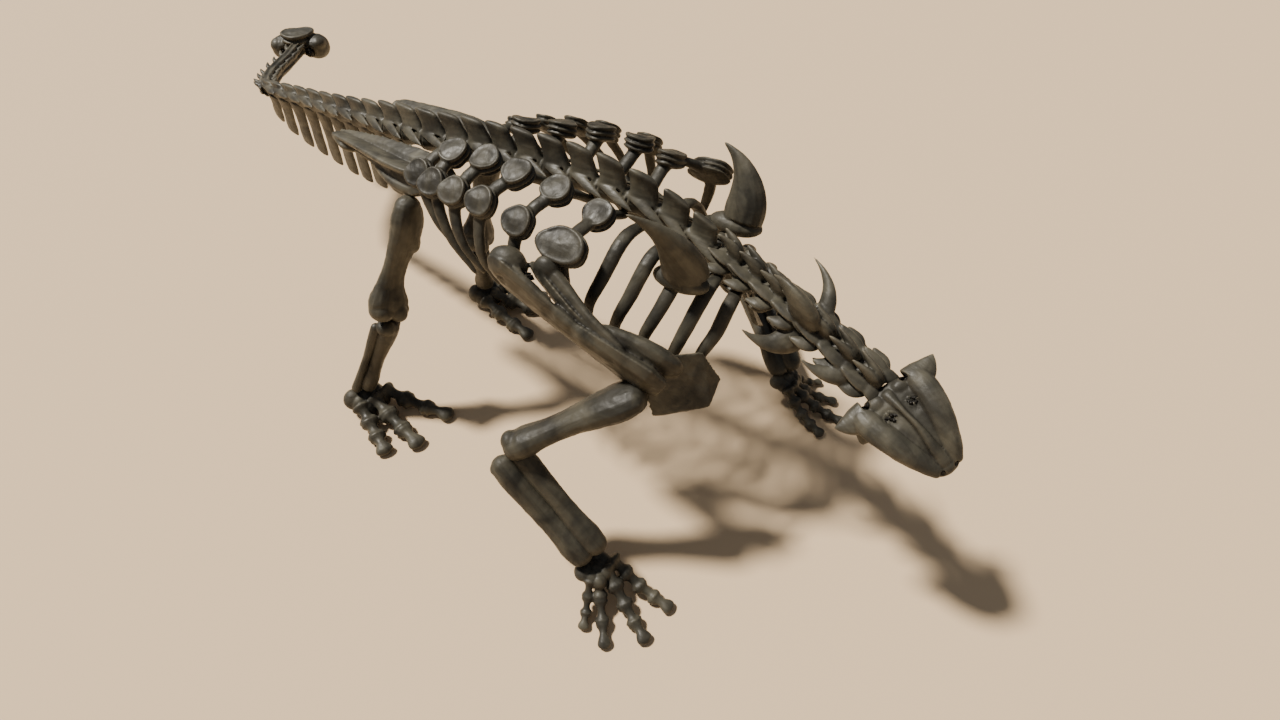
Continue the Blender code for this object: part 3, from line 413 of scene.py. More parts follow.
def carry(points, widths, depths, hint, blunt=0.05, per_metre=1000):
    """Copy the bar onto a curve, its ends rounded; widths lie across the hint, depths along it.

    Widths and depths are in millimetres, or in metres where per_metre is 1.
    """
    points = [Vector(point) for point in points]
    widths, depths = ([size / per_metre for size in sizes] for sizes in (widths, depths))
    copy = twin(unit_bar)
    rings = {}
    for vertex in copy.data.vertices:
        x, y, z = vertex.co
        key = round(z, 5)
        if key not in rings:
            ahead = through(points, min(z + 0.02, 1.0)) - through(points, max(z - 0.02, 0.0))
            across = ahead.cross(Vector(hint)).normalized()
            lift = across.cross(ahead).normalized()
            near = min(z, 1.0 - z) / blunt
            shrink = max(math.sqrt(max(1.0 - (1.0 - near) ** 2, 0.0)), 0.02) if near < 1.0 else 1.0
            rings[key] = (through(points, z), across * (through(widths, z) * shrink),
                          lift * (through(depths, z) * shrink))
        spot, across, lift = rings[key]
        vertex.co = spot + across * x + lift * y
    return copy


def put(model, centre, sizes, axes=((1, 0, 0), (0, 1, 0), (0, 0, 1))):
    """Copy a unit shape to a place, with a size for each of three directions."""
    copy = twin(model)
    centre = Vector(centre)
    first, second, third = (Vector(axis) for axis in axes)
    for vertex in copy.data.vertices:
        x, y, z = vertex.co
        vertex.co = centre + first * (x * sizes[0]) + second * (y * sizes[1]) + third * (z * sizes[2])
    return copy


def ball(centre, sizes, *axes):
    return put(unit_ball, centre, sizes, *axes)


def cast(solid):
    """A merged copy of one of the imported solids, moved back to the trunk's own axes."""
    copy = added(solid + "_cast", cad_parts[solid].data.copy())
    copy.data.materials.clear()
    copy.data.transform(Matrix.Translation(-SHIFT))
    bpy.ops.object.select_all(action="DESELECT")
    copy.select_set(True)
    bpy.context.view_layer.objects.active = copy
    bpy.ops.object.mode_set(mode="EDIT")
    bpy.ops.mesh.select_all(action="SELECT")
    bpy.ops.mesh.remove_doubles(threshold=0.0001)
    bpy.ops.object.mode_set(mode="OBJECT")
    return copy


def uneven(name, size):
    texture = bpy.data.textures.get(name) or bpy.data.textures.new(name, "CLOUDS")
    texture.noise_scale = size
    texture.noise_depth = 2
    return texture


def knit(solid, parts, grid, smooth, rough, streak=(0, 1, 0), tone_and_painted_light=1.0, press=()):
    """Join shapes into one skin of even faces, smooth and roughen it, and let it stand for its solid."""
    bpy.ops.object.select_all(action="DESELECT")
    for part in parts:
        part.select_set(True)
    bpy.context.view_layer.objects.active = parts[0]
    if len(parts) > 1:
        bpy.ops.object.join()
    piece = bpy.context.object
    piece.name = piece.data.name = solid + "_bone"
    piece.data.transform(Matrix.Translation(SHIFT))
    apply("REMESH", mode="VOXEL", voxel_size=grid)
    apply("SMOOTH", factor=0.5, iterations=smooth)
    dent(piece, press)
    for name, size, share in (("Broad swell", 0.045, 1.0), ("Fine swell", 0.014, 0.2)):
        apply("DISPLACE", texture=uneven(name, size), strength=settings().rough * rough * share, mid_level=0.5,
              texture_coords="LOCAL")
    bpy.ops.object.shade_smooth()
    piece.data.materials.clear()
    # tone_and_painted_light scales this bone's face, edge and stain colours: partly the bone's own tone, partly
    # painted light, brighter for bones that catch the light and darker for bones in shade
    piece.data.materials.append(bone_material(piece.name + " bone", streak, tone_and_painted_light))
    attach(piece, "root")
    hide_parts(solid)
    return piece


def dent(piece, press):
    """Push pits into a skin, or bosses out of it: place, reach and depth of each."""
    for centre, reach, depth in press:
        centre = Vector(centre) + SHIFT
        for vertex in piece.data.vertices:
            away = (vertex.co - centre).length
            if away < reach:
                vertex.co -= vertex.normal * (depth * (1.0 - (away / reach) ** 2) ** 2)


# Finishes

def socket(group, name, kind, value=None, way="INPUT"):
    made = group.interface.new_socket(name=name, in_out=way, socket_type=kind)
    if value is not None:
        made.default_value = value
    return made


def node(tree, kind, **values):
    made = tree.nodes.new(kind)
    for name, value in values.items():
        setattr(made, name, value)
    return made


def mixed(tree, factor, first, second, blend="MIX"):
    """A colour mix; each argument is a socket, or a value."""
    mix = node(tree, "ShaderNodeMix", data_type="RGBA", blend_type=blend)
    for index, value in ((0, factor), (6, first), (7, second)):
        if isinstance(value, bpy.types.NodeSocket):
            tree.links.new(value, mix.inputs[index])
        else:
            mix.inputs[index].default_value = value
    return mix.outputs[2]


def spread(tree, value, low, high, to_low=0.0, to_high=1.0):
    """Stretch a value from one range to another."""
    ranged = node(tree, "ShaderNodeMapRange")
    tree.links.new(value, ranged.inputs[0])
    for index, number in zip((1, 2, 3, 4), (low, high, to_low, to_high)):
        ranged.inputs[index].default_value = number
    return ranged.outputs[0]


def fossil_group():
    """Colour, roughness and height of mineralised bone: stains, streaks, painted shade in pits and creases, and
    worn edges.
    """
    group = bpy.data.node_groups.get("Fossil surface")
    if group:
        return group
    group = bpy.data.node_groups.new("Fossil surface", "ShaderNodeTree")
    link = group.links.new
    for name in ("Place", "Streak place"):
        socket(group, name, "NodeSocketVector")
    for name in ("Face", "Streak and painted shade", "Edge", "Stain"):
        socket(group, name, "NodeSocketColor", (0.1, 0.1, 0.1, 1.0))
    socket(group, "Matt", "NodeSocketFloat", 0.4)
    for name, kind in (("Colour", "Color"), ("Roughness", "Float"), ("Height", "Float")):
        socket(group, name, "NodeSocket" + kind, way="OUTPUT")
    given = node(group, "NodeGroupInput").outputs
    result = node(group, "NodeGroupOutput").inputs

    def cloud(place, scale, detail, distortion=0.0):
        made = node(group, "ShaderNodeTexNoise")
        link(given[place], made.inputs["Vector"])
        for name, value in (("Scale", scale), ("Detail", detail), ("Distortion", distortion)):
            made.inputs[name].default_value = value
        return made.outputs["Fac"]

    broad = cloud("Place", 7.0, 3.0, 0.6)
    blotch = cloud("Place", 16.0, 4.0, 1.2)
    grain = cloud("Place", 190.0, 3.0)
    streak = cloud("Streak place", 34.0, 5.0, 0.4)
    curve = node(group, "ShaderNodeNewGeometry").outputs["Pointiness"]
    colour = mixed(group, spread(group, blotch, 0.52, 0.74, 0.0, 0.45), given["Face"], given["Stain"])
    darker = mixed(group, 1.0, colour, (0.42, 0.43, 0.46, 1.0), "MULTIPLY")
    colour = mixed(group, spread(group, broad, 0.38, 0.6), darker, colour)
    colour = mixed(group, spread(group, streak, 0.42, 0.66, 0.0, 0.42), colour, given["Streak and painted shade"])
    # Painted shade: the colour goes dark where the skin curves inwards, in pits, grooves and creases
    colour = mixed(group, spread(group, curve, 0.498, 0.445), colour, given["Streak and painted shade"])
    colour = mixed(group, spread(group, curve, 0.515, 0.62, 0.0, 0.9), colour, given["Edge"])
    link(colour, result["Colour"])
    rough = node(group, "ShaderNodeMath", operation="ADD")
    link(given["Matt"], rough.inputs[0])
    link(spread(group, blotch, 0.3, 0.7, -0.08, 0.14), rough.inputs[1])
    link(rough.outputs[0], result["Roughness"])
    height = node(group, "ShaderNodeMath", operation="MULTIPLY_ADD")
    link(streak, height.inputs[0])
    height.inputs[1].default_value = 1.0
    link(spread(group, grain, 0.0, 1.0, 0.0, 0.16), height.inputs[2])
    link(height.outputs[0], result["Height"])
    return group


def bone_material(name, streak, tone_and_painted_light):
    """Dark semi-gloss bone whose fine streaks run along one direction of its own piece."""
    chosen = settings()
    material = bpy.data.materials.new(name)
    material.use_nodes = True
    tree = material.node_tree
    link = tree.links.new
    shader = tree.nodes["Principled BSDF"]
    surface = node(tree, "ShaderNodeGroup", node_tree=fossil_group())
    place = node(tree, "ShaderNodeTexCoord").outputs["Object"]
    turned = node(tree, "ShaderNodeMapping", vector_type="TEXTURE")
    turned.inputs["Rotation"].default_value = Vector(streak).to_track_quat("Z", "Y").to_euler()
    turned.inputs["Scale"].default_value = (1.0, 1.0, 9.0)
    link(place, turned.inputs["Vector"])
    link(place, surface.inputs["Place"])
    link(turned.outputs["Vector"], surface.inputs["Streak place"])
    for label, colour in (("Face", chosen.face_colour), ("Streak and painted shade", chosen.streak_and_painted_shade_colour),
                          ("Edge", chosen.edge_colour), ("Stain", chosen.warm_colour)):
        # Per-bone brightness, partly painted light; the streak and painted shade colour is left unscaled
        share = 1.0 if label == "Streak and painted shade" else tone_and_painted_light
        surface.inputs[label].default_value = (*(share * part for part in colour), 1.0)
    surface.inputs["Matt"].default_value = chosen.gloss
    bump = node(tree, "ShaderNodeBump")
    bump.inputs["Strength"].default_value = 0.55
    bump.inputs["Distance"].default_value = 0.004
    link(surface.outputs["Colour"], shader.inputs["Base Color"])
    link(surface.outputs["Roughness"], shader.inputs["Roughness"])
    link(surface.outputs["Height"], bump.inputs["Height"])
    link(bump.outputs["Normal"], shader.inputs["Normal"])
    shader.inputs["Specular IOR Level"].default_value = 0.3
    return material


# Vertebrae

def on_spine(model, front, back, reshape):
    """Copy a unit shape onto one vertebra's stretch of the spine.

    reshape turns a point of the shape into metres to the left, a share of the stretch and metres up.
    """
    copy = twin(model)
    length = (spine_point(back) - spine_point(front)).length
    frames = {}
    for vertex in copy.data.vertices:
        side, share, height = reshape(*vertex.co)
        inside = round(min(max(share, 0.0), 1.0) * 24) / 24
        if inside not in frames:
            frames[inside] = spine_frame(front + (back - front) * inside)
        centre, tailward, left, up = frames[inside]
        vertex.co = centre + tailward * ((share - inside) * length) + left * side + up * height
    return copy


def spine_rod(front, back, points, widths, depths, hint=(0, 0, 1), blunt=0.08, per_metre=1000):
    """A bar whose points are given as metres left, share of the stretch and metres up."""
    length = (spine_point(back) - spine_point(front)).length
    centre, tailward, left, up = spine_frame((front + back) / 2)
    turn = Matrix((left, tailward, up)).transposed()
    route = [centre + turn @ Vector((side, (share - 0.5) * length, height)) for side, share, height in points]
    return carry(route, widths, depths, turn @ Vector(hint), blunt, per_metre)


def drum(front, back, rim, waist, edge):
    """The body of a vertebra: waisted between two rounded faces."""
    def shaped(x, y, z):
        wide = rim * (waist + (1 - waist) * abs(2 * z - 1) ** 2.2) * min(1.0, edge + min(z, 1 - z) * 8.0)
        return x * wide, 0.02 + z * 0.96, y * wide

    return on_spine(unit_bar, front, back, shaped)


def vertebra(front, back, wing):
    """One vertebra of the trunk or tail, whose side wings reach out by a given length."""
    middle = (front + back) / 2
    rim, rise = along(RIM, middle), along(SPINE_RISE, middle)
    length = (spine_point(back) - spine_point(front)).length
    lean = along(SPINE_LEAN, middle) / length
    drop = along(CHEVRON_DROP, middle)
    foot = rim * 0.72
    top = rim * 0.8 + rise + 0.008

    def plate(x, y, z):
        thick = 0.028 + 0.052 * (1.0 - z) ** 1.3 * rim / 0.055
        span = 0.94 + 0.06 * z
        sag = -0.1 * (0.5 - y) * z
        return x * thick, 0.5 + y * span + lean * z, foot * 0.55 + (top - foot * 0.55) * (z + sag)

    parts = [drum(front, back, rim, 0.74, 0.8), on_spine(unit_tile, front, back, plate)]
    reach = wing * rim / 0.055
    for side in SIDES:
        parts.append(spine_rod(
            front, back, ((side * 0.02, 1.05, foot * 1.1), (side * reach * 0.5, 0.6, foot * 1.0),
                          (side * reach * 0.82, 0.05, foot * 0.74), (side * reach * 1.03, -0.44, foot * 0.42)),
            (14, 21, 18, 3), (7, 8, 7, 3), (side * 0.9, 0, 1)))
    if drop > 0.02:
        chevron = ((0, 0.72, -rim * 0.6), (0, 0.84, -rim - drop * 0.35), (0, 1.02, -rim - drop * 0.72),
                   (0, 1.16, -rim - drop))
        widths = [length * share for share in (0.46, 0.4, 0.36, 0.39, 0.34)]
        depths = (0.026, 0.016, 0.014, 0.014, 0.012)
        parts.append(spine_rod(front, back, chevron, widths, depths, (1, 0, 0), 0.02, 1))
    return parts


def neck_vertebra(front, back):
    """One neck vertebra: drum, low forked spine, swept prongs and side wings."""
    middle = (front + back) / 2
    rim, rise = along(RIM, middle), along(SPINE_RISE, middle)
    centre, tailward, left, up = spine_frame(middle)
    axes = (left, tailward, up)
    length = (spine_point(back) - spine_point(front)).length
    parts = [drum(front, back, rim, 0.78, 0.82),
             ball(centre + up * rim * 0.62, (rim * 1.2, length * 0.5, rim * 0.6), axes)]
    for side in SIDES:
        parts.append(ball(centre + left * (side * rim * 1.0) + up * 0.004 + tailward * 0.01,
                          (rim * 0.6, length * 0.42, rim * 0.58), axes))
        for points, widths, depths in (
                (((0.01, 0.1, rim * 0.7), (0.014, 0.5, rim + rise * 0.55), (0.026, 1.15, rim + rise * 0.95)),
                 (14, 18, 13, 4), (22, 28, 20, 5)),
                (((0.022, 0.15, rim * 0.75), (0.044, 0.6, rim * 1.05), (0.062, 1.22, rim * 1.3)),
                 (26, 36, 26, 4), (11, 13, 10, 4)),
                (((0.02, 0.55, rim * 0.85), (0.044, 0.1, rim * 0.88), (0.064, -0.2, rim * 0.62)),
                 (20, 28, 12), (12, 14, 8)),
                (((0.026, 0.35, 0.002), (0.072, 0.55, 0.01), (0.098, 1.05, 0.004)), (32, 34, 6), (18, 16, 5)),
                (((0.02, 0.4, -rim * 0.5), (0.062, 0.6, -rim * 0.8), (0.074, 1.15, -rim * 1.0)),
                 (22, 22, 4), (16, 14, 4))):
            points = [(side * x, share, z) for x, share, z in points]
            parts.append(spine_rod(front, back, points, widths, depths))
    return parts


def handle_vertebra(front, back):
    """One long vertebra of the tail's stiff end, wrapped by rods that reach over its neighbours."""
    rim = along(RIM, (front + back) / 2)
    parts = [on_spine(unit_bar, front, back, lambda x, y, z: (x * rim * 1.42, z, y * rim * 1.2))]
    for turn in range(8):
        angle = math.radians(22 + 45 * turn)
        x, z = math.cos(angle), math.sin(angle)
        parts.append(spine_rod(
            front, back, ((x * rim * 1.25, -0.15, z * rim * 1.02), (x * rim * 1.5, 0.4, z * rim * 1.22),
                          (x * rim * 1.72, 1.15, z * rim * 1.44)), (10, 12, 9, 3), (8, 10, 8, 3), (x, 0.1, z)))
    for side in SIDES:
        for share in (0.2, 0.7):
            parts.append(spine_rod(
                front, back, ((side * rim, share, rim * 0.6), (side * rim * 1.6, share + 0.1, rim * 0.9),
                              (side * rim * 2.1, share + 0.3, rim * 1.3)), (14, 14, 3), (12, 11, 3)))
    return parts


def spike_bar(base, bend, tip, half_length, half_width):
    """A horn-like spike, oval at its base and drawn out to a point."""
    base, bend, tip = Vector(base), Vector(bend), Vector(tip)
    shares = [step / 7 for step in range(8)]
    route = [base * (1 - s) ** 2 + bend * (2 * s * (1 - s)) + tip * s ** 2 for s in shares]
    sizes = (0.97, 1.0, 0.9, 0.73, 0.54, 0.37, 0.2, 0.06)
    hint = (bend - base).cross(tip - base).cross(bend - base) * -1
    widths, depths = ([half * size for size in sizes] for half in (half_width, half_length))
    return carry(route, widths, depths, hint, 0.03, 1)


class SKELETON_OT_spine(Operator):
    """Build the neck with its spikes, the back, the hips' vertebrae, the tail and its stiff end"""
    bl_idname = "skeleton.spine"
    bl_label = "Spine"

    def execute(self, context):
        for name in COLUMNS:
            self.column(name)
        return {"FINISHED"}

    def column(self, name):
        first, last, count = COLUMNS[name]
        stations = [first + (last - first) * index / count for index in range(count + 1)]
        parts = []
        if name == "neck_vertebrae":
            for base, bend, tip, half_length, half_width in NECK_SPIKES:
                rooted = Vector(base).lerp(spine_point(base[1]), 0.45)
                parts.append(spike_bar(rooted, bend, tip, half_length, half_width))
        for front, back in zip(stations, stations[1:]):
            if name == "neck_vertebrae":
                parts += neck_vertebra(front, back)
            elif name == "tail_handle":
                parts += handle_vertebra(front, back)
            else:
                parts += vertebra(front, back, WINGS[name])
        knit(name, parts, settings().fine_grid, 3, 0.7, spine_frame((first + last) / 2)[1], 1.12)


class SKELETON_OT_club(Operator):
    """Build the tail club: a flat lid over two side knobs"""
    bl_idname = "skeleton.club"
    bl_label = "Tail club"

    def execute(self, context):
        centre = Vector((1.365, 2.415, 0.965))
        ahead = centre - spine_point(2.2)
        ahead = Vector((ahead.x, ahead.y, 0)).normalized()
        across = Vector((ahead.y, -ahead.x, 0))
        axes = (across, ahead, UP)

        def at(side, front, height):
            return centre + across * side + ahead * front + UP * height

        parts = [put(unit_button, at(0.0, 0.01, 0.052), (0.122, 0.112, 0.085), axes),
                 ball(at(0.0, 0.015, 0.0), (0.115, 0.105, 0.066), axes)]
        for side in SIDES:
            parts += [ball(at(side * 0.112, 0.0, -0.012), (0.084, 0.104, 0.08), axes),
                      ball(at(side * 0.138, -0.03, 0.012), (0.052, 0.064, 0.05), axes),
                      ball(at(side * 0.075, -0.06, -0.03), (0.035, 0.06, 0.034), axes)]
        pits = [(at(side * 0.085, -0.105, -0.02), 0.055, 0.02) for side in SIDES]
        knit("tail_club", parts, settings().grid, 3, 1.2, across, 1.2, pits)
        return {"FINISHED"}


# Ribs with their armour

class SKELETON_OT_ribs(Operator):
    """Build the eleven pairs of ribs, with round plates of armour on the rear six"""
    bl_idname = "skeleton.ribs"
    bl_label = "Ribs"

    def execute(self, context):
        for side in SIDES:
            for index, row in enumerate(RIBS[side]):
                self.rib(index + 1, side, row)
        return {"FINISHED"}

    def rib(self, number, side, row):
        root, *stops = row
        centre, _, left, up = spine_frame(root)
        points = [centre + left * (side * 0.03) - up * 0.048] + [Vector(stop) for stop in stops]
        parts = [carry(points, (18, 21, 21, 20, 19, 15, 8), (25, 30, 31, 29, 26, 20, 9), TAILWARD, 0.03)]
        plates = []
        if 1 < number <= PLATED_RIBS:
            plates.append((UPPER_PLATE, 0.07, 0.066))
        if number <= PLATED_RIBS:
            plates.append((LOWER_PLATE, *((0.112, 0.076) if number == PLATED_RIBS else (0.068, 0.066))))
        for share, long_half, short_half in plates:
            spot = through(points, share)
            ahead = (through(points, share + 0.02) - through(points, share - 0.02)).normalized()
            wide = ahead.cross(TAILWARD).cross(ahead).normalized()
            out = ahead.cross(wide).normalized()
            if out.x * side < 0:
                out = -out
            if share == UPPER_PLATE:
                out = ((out if out.z > 0 else -out) + Vector((side * 0.55, 0, 0))).normalized()
                wide = out.cross(TAILWARD).normalized()
                ahead = out.cross(wide).normalized()
                wide, ahead = (wide * math.cos(number) + ahead * math.sin(number),
                               ahead * math.cos(number) - wide * math.sin(number))
                long_half = short_half = 0.068
            sizes = (long_half, short_half, 0.054)
            parts.append(put(unit_button, spot + out * 0.02, sizes, (wide, ahead, out)))
        knit("rib_%s_%02d" % (side_name(side), number), parts, settings().fine_grid, 2,
             1.0 if number <= PLATED_RIBS else 0.8, points[-1] - points[1], 0.72)


class SKELETON_OT_spikes(Operator):
    """Build the two curved shoulder spikes"""
    bl_idname = "skeleton.spikes"
    bl_label = "Shoulder spikes"

    def execute(self, context):
        for side in SIDES:
            base, bend, tip = SHOULDER_SPIKES[side]
            foot = Vector(base) + Vector((0, 0.025, -0.016))
            parts = [spike_bar(base, bend, tip, 0.09, 0.055), ball(foot, (0.06, 0.118, 0.044))]
            knit("shoulder_spike_" + side_name(side), parts, settings().fine_grid, 3, 0.7,
                 Vector(tip) - Vector(base))
        return {"FINISHED"}


# Head

class SKELETON_OT_head(Operator):
    """Build the horned skull and the mandible"""
    bl_idname = "skeleton.head"
    bl_label = "Skull and mandible"

    def execute(self, context):
        origin = Vector(SKULL_AT)
        back = (origin - Vector(SKULL_NOSE)).normalized()
        left = Vector(SKULL_LEFT_HORN) - origin
        left = (left - back * left.dot(back)).normalized()
        up = left.cross(back).normalized()

        def at(place, side):
            x, y, z = mm(place)
            return origin + left * (side * x) + back * y + up * z

        def rod(points, widths, depths, blunt=0.06, side=1):
            return carry([at(point, side) for point in points], widths, depths, up, blunt)

        def lump(place, sizes, side=1):
            return ball(at(place, side), mm(sizes), (left, back, up))

        parts = [rod(*row) for row in SKULL_MIDDLE] + [lump(*row) for row in SNOUT_LUMPS]
        for side in SIDES:
            parts += [rod(*row, side) for row in SKULL_SIDE] + [lump(*row, side) for row in NECK_LUMPS]
        pits = [(at(place, side), mm(reach), mm(depth)) for side in SIDES for place, reach, depth in SKULL_PITS]
        grid = settings().fine_grid * 0.8
        knit("skull", parts, grid, 3, 0.8, back, 1.18, pits)
        parts = [rod(*row, side) for side in SIDES for row in MANDIBLE_SIDE]
        parts.append(lump((0, -305, -116), (40, 20, 12)))
        knit("mandible", parts, grid, 2, 0.8, back)
        return {"FINISHED"}


# Shoulders, hips and limbs

def shoulder_place(x, y, z, side):
    """A point of the right shoulder, or its twin on the left, which hangs lower and further back."""
    point = mirrored((x, y, z), side, TRUNK_MIDDLE)
    return point + LEFT_SHOULDER_DROP if side > 0 else point


class SKELETON_OT_shoulders(Operator):
    """Build the shoulder blades with their coracoid plates"""
    bl_idname = "skeleton.shoulders"
    bl_label = "Shoulder blades"

    def execute(self, context):
        for side in SIDES:
            def at(*place):
                return shoulder_place(*mm(place), side)

            name = "scapula_" + side_name(side)
            hint = (-side, 0, 0.35)
            bars = [carry([at(*point) for point in points], widths, depths, hint, blunt)
                    for points, widths, depths, blunt in SCAPULA_BARS]
            knobs = [ball(at(-212, -700, 1196), (0.062, 0.082, 0.074)),
                     ball(at(-158, -842, 1190), (0.046, 0.056, 0.056))]
            pits = [(at(*place), mm(reach), mm(depth)) for place, reach, depth in SCAPULA_PITS]
            knit(name, [cast(name)] + bars[:2] + knobs + bars[2:], settings().grid, 4, 1.0,
                 at(-250, -1200, 950) - at(-230, -700, 1160), 1.0, pits)
        return {"FINISHED"}


class SKELETON_OT_hips(Operator):
    """Build the roof-like hip blades"""
    bl_idname = "skeleton.hips"
    bl_label = "Hip blades"

    def execute(self, context):
        for side in SIDES:
            def at(place):
                x, y, z = mm(place)
                return mirrored((x, y, z), side, TRUNK_MIDDLE + along(((0.0, 0.0), (0.7, 0.1)), y))

            name = "ilium_" + side_name(side)
            hint = (-side * 0.55, 0, 1.0)
            parts = [cast(name)] + [carry([at(point) for point in points], widths, depths, hint, blunt)
                                    for points, widths, depths, blunt in ILIUM_BARS]
            knit(name, parts, settings().grid, 6, 1.0, tone_and_painted_light=1.2)
        return {"FINISHED"}


def joint_knob(centre, ahead, across, size, spread_by):
    """Two rounded knobs side by side at the end of a limb bone."""
    across = (across - ahead * across.dot(ahead)).normalized()
    other = ahead.cross(across)
    return [ball(centre + across * (side * spread_by), (size, size * 1.05, size * 0.85), (across, other, ahead))
            for side in SIDES]


class SKELETON_OT_hind_limbs(Operator):
    """Build thigh and shin bones"""
    bl_idname = "skeleton.hind_limbs"
    bl_label = "Hind limbs"

    def execute(self, context):
        for side in SIDES:
            self.limb(side)
        return {"FINISHED"}

    def limb(self, side):
        hip = mirrored((0.02, 0.045, 1.12), side, TRUNK_MIDDLE)
        knee, ankle = (mirrored(point, side, HIND_MIDDLE) for point in (KNEE, ANKLE))
        facing = Vector((-0.6 * side, -0.5, 0.2))
        grid = settings().grid
        name = side_name(side)
        down = (knee - hip).normalized()
        inward = Vector((side * -0.49, -0.87, 0))
        route = [hip.lerp(knee, share) + inward * bow
                 for share, bow in ((0, 0), (0.25, 0.012), (0.5, -0.004), (0.75, -0.016), (1.0, 0))]
        parts = [carry(route, (56, 78, 74, 64, 60, 72, 102, 88), (48, 62, 60, 48, 42, 50, 72, 60),
                       (0, -1, 0.2))]
        parts += joint_knob(knee - down * 0.035, down, Vector((1, 0, 0)), 0.058, 0.048)
        parts += [ball(hip.lerp(knee, 0.3) + inward * 0.034, (0.046, 0.046, 0.085)),
                  ball(knee + inward * 0.048 - down * 0.02, (0.044, 0.044, 0.05)),
                  ball(knee - inward * 0.07 - down * 0.06, (0.026, 0.026, 0.034)),
                  ball(hip + down * 0.03, (0.06, 0.056, 0.052))]
        knit("femur_" + name, parts, grid, 4, 1.3, down)

        shin = (ankle - knee).normalized()
        outward = Vector((side * 0.03, 0.02, 0))
        top = knee + (ankle - knee) * 0.07
        parts = [carry([(top - outward * 0.6).lerp(ankle - outward * 0.5, share) for share in (0, 0.5, 1.0)],
                       (62, 64, 52, 44, 44, 56, 52), (52, 52, 44, 38, 36, 44, 40), facing, 0.06)]
        parts += joint_knob(top - outward * 0.5 + shin * 0.03, shin, Vector((1, 0.4, 0)), 0.046, 0.03)
        knit("tibia_" + name, parts, grid, 3, 1.2, shin, 0.8)
        parts = [carry([(top + outward * 1.15).lerp(ankle + outward * 1.05, share) for share in (0, 0.5, 1.0)],
                       (26, 25, 20, 20, 23, 30), (28, 25, 20, 20, 23, 28), facing)]
        knit("fibula_" + name, parts, settings().fine_grid, 2, 0.8, shin, 0.8)


class SKELETON_OT_fore_limbs(Operator):
    """Build upper arm and forearm bones"""
    bl_idname = "skeleton.fore_limbs"
    bl_label = "Fore limbs"

    def execute(self, context):
        for side in SIDES:
            self.limb(side)
        return {"FINISHED"}

    def limb(self, side):
        name = side_name(side)
        shoulder = shoulder_place(-0.236, -1.347, 0.874, side)
        elbow, wrist = (Vector(point) for point in ARM_JOINTS[side])
        upper = (elbow - shoulder).normalized()
        head, foot = shoulder + upper * 0.035, elbow - upper * 0.01
        bow = Vector((0, 0, 0.008))
        grid = settings().grid
        route = [head.lerp(foot, share) + bow * math.sin(math.pi * share)
                 for share in (0, 0.25, 0.5, 0.75, 1.0)]
        parts = [carry(route, (68, 96, 88, 74, 64, 68, 78, 62), (48, 64, 62, 54, 48, 50, 60, 48),
                       (side * -0.5, -0.6, 0.6), 0.06)]
        parts += joint_knob(foot - upper * 0.045, upper, Vector((0, 0.3, 1)), 0.046, 0.03)
        knit("humerus_" + name, parts, grid, 4, 1.3, upper, 0.85)

        lower = (wrist - elbow).normalized()
        apart = Vector((side * 0.489, 0.872, 0))
        apart = (apart - lower * apart.dot(lower)).normalized() * 0.043
        start = elbow + lower * 0.03
        hint = apart.cross(lower)
        parts = [carry([start + apart - lower * 0.03, (start + wrist) / 2 + apart, wrist + apart * 0.8],
                       (46, 56, 52, 48, 50, 58, 50), (44, 52, 44, 38, 38, 46, 40), hint, 0.07)]
        parts += joint_knob(start + apart + lower * 0.01, lower, apart, 0.036, 0.018)
        knit("ulna_" + name, parts, grid, 3, 1.1, lower, 0.8)
        parts = [carry([start - apart, (start + wrist) / 2 - apart * 0.95, wrist - apart * 0.9],
                       (46, 50, 46, 44, 48, 56, 48), (42, 42, 37, 34, 36, 44, 38), hint, 0.08)]
        knit("radius_" + name, parts, grid, 3, 1.1, lower, 0.8)


def digit_parts(root, tip, bones, radius):
    """One finger or toe: waisted bones with knuckles between them and a blunt last bone."""
    route = []
    for step in range(bones + 1):
        share = step / bones
        point = root.lerp(tip, share)
        point.z = tip.z + (root.z - tip.z) * (1 - share) ** 2.0
        route.append(point)
    parts = []
    for index, (start, end) in enumerate(zip(route, route[1:])):
        ahead = (end - start).normalized()
        across = ahead.cross(UP).normalized()
        lift = across.cross(ahead).normalized()
        size = radius * (1.02 - 0.05 * index)
        last = index == bones - 1
        widths, depths = ([size * share for share in row] for row in (LAST_BONE if last else DIGIT_BONE))
        stop = end + ahead * size * (0.55 if last else 0.1)
        if last:
            stop.z = max(stop.z, size * 0.42)
        spots = (start - ahead * size * 0.25, (start + end) / 2 + lift * size * 0.12, stop)
        parts.append(carry(spots, widths, depths, lift, 0.12, 1))
        if not last:
            parts += [ball(end - ahead * size * 0.15 + across * (turn * size * 0.42) + lift * size * 0.15,
                           (size * 0.44, size * 0.56, size * 0.56), (across, ahead, lift)) for turn in SIDES]
    return parts


def autopod(name, wrist, side, half, low, high, tips, radius, grid):
    """A hand or foot: a cluster of rounded wrist bones and its digits, kept above the floor."""
    parts = []
    for row, (share, count, size) in enumerate(WRIST_ROWS):
        for index in range(count):
            across = (index - (count - 1) / 2) / max(count - 1, 1) * 1.25
            level = low + (high - low) * (0.6 - 0.1 * row + 0.06 * (index % 2))
            centre = Vector((wrist.x + half * across * 0.8, wrist.y - share * half * 1.2, level))
            parts.append(ball(centre, (half * size * 1.02, half * size, (high - low) * 0.4)))
    parts.append(ball((wrist.x, wrist.y, (low + high) / 2), (half * 0.72, half * 0.72, (high - low) * 0.42)))
    for index, (tip_x, tip_y, bones) in enumerate(tips):
        tip = Vector((wrist.x + side * tip_x, wrist.y + tip_y, radius * 0.42))
        spread_by = 0.7 - 1.5 * index / (len(tips) - 1)
        root = Vector((wrist.x + side * half * spread_by, wrist.y + tip_y * 0.12, low + (high - low) * 0.6))
        parts += digit_parts(root, tip, bones, radius * DIGIT_SIZES[len(tips)][index])
    piece = knit(name + side_name(side), parts, grid, 2, 0.8)
    for vertex in piece.data.vertices:
        vertex.co.z = max(vertex.co.z, LOWEST_POINT)


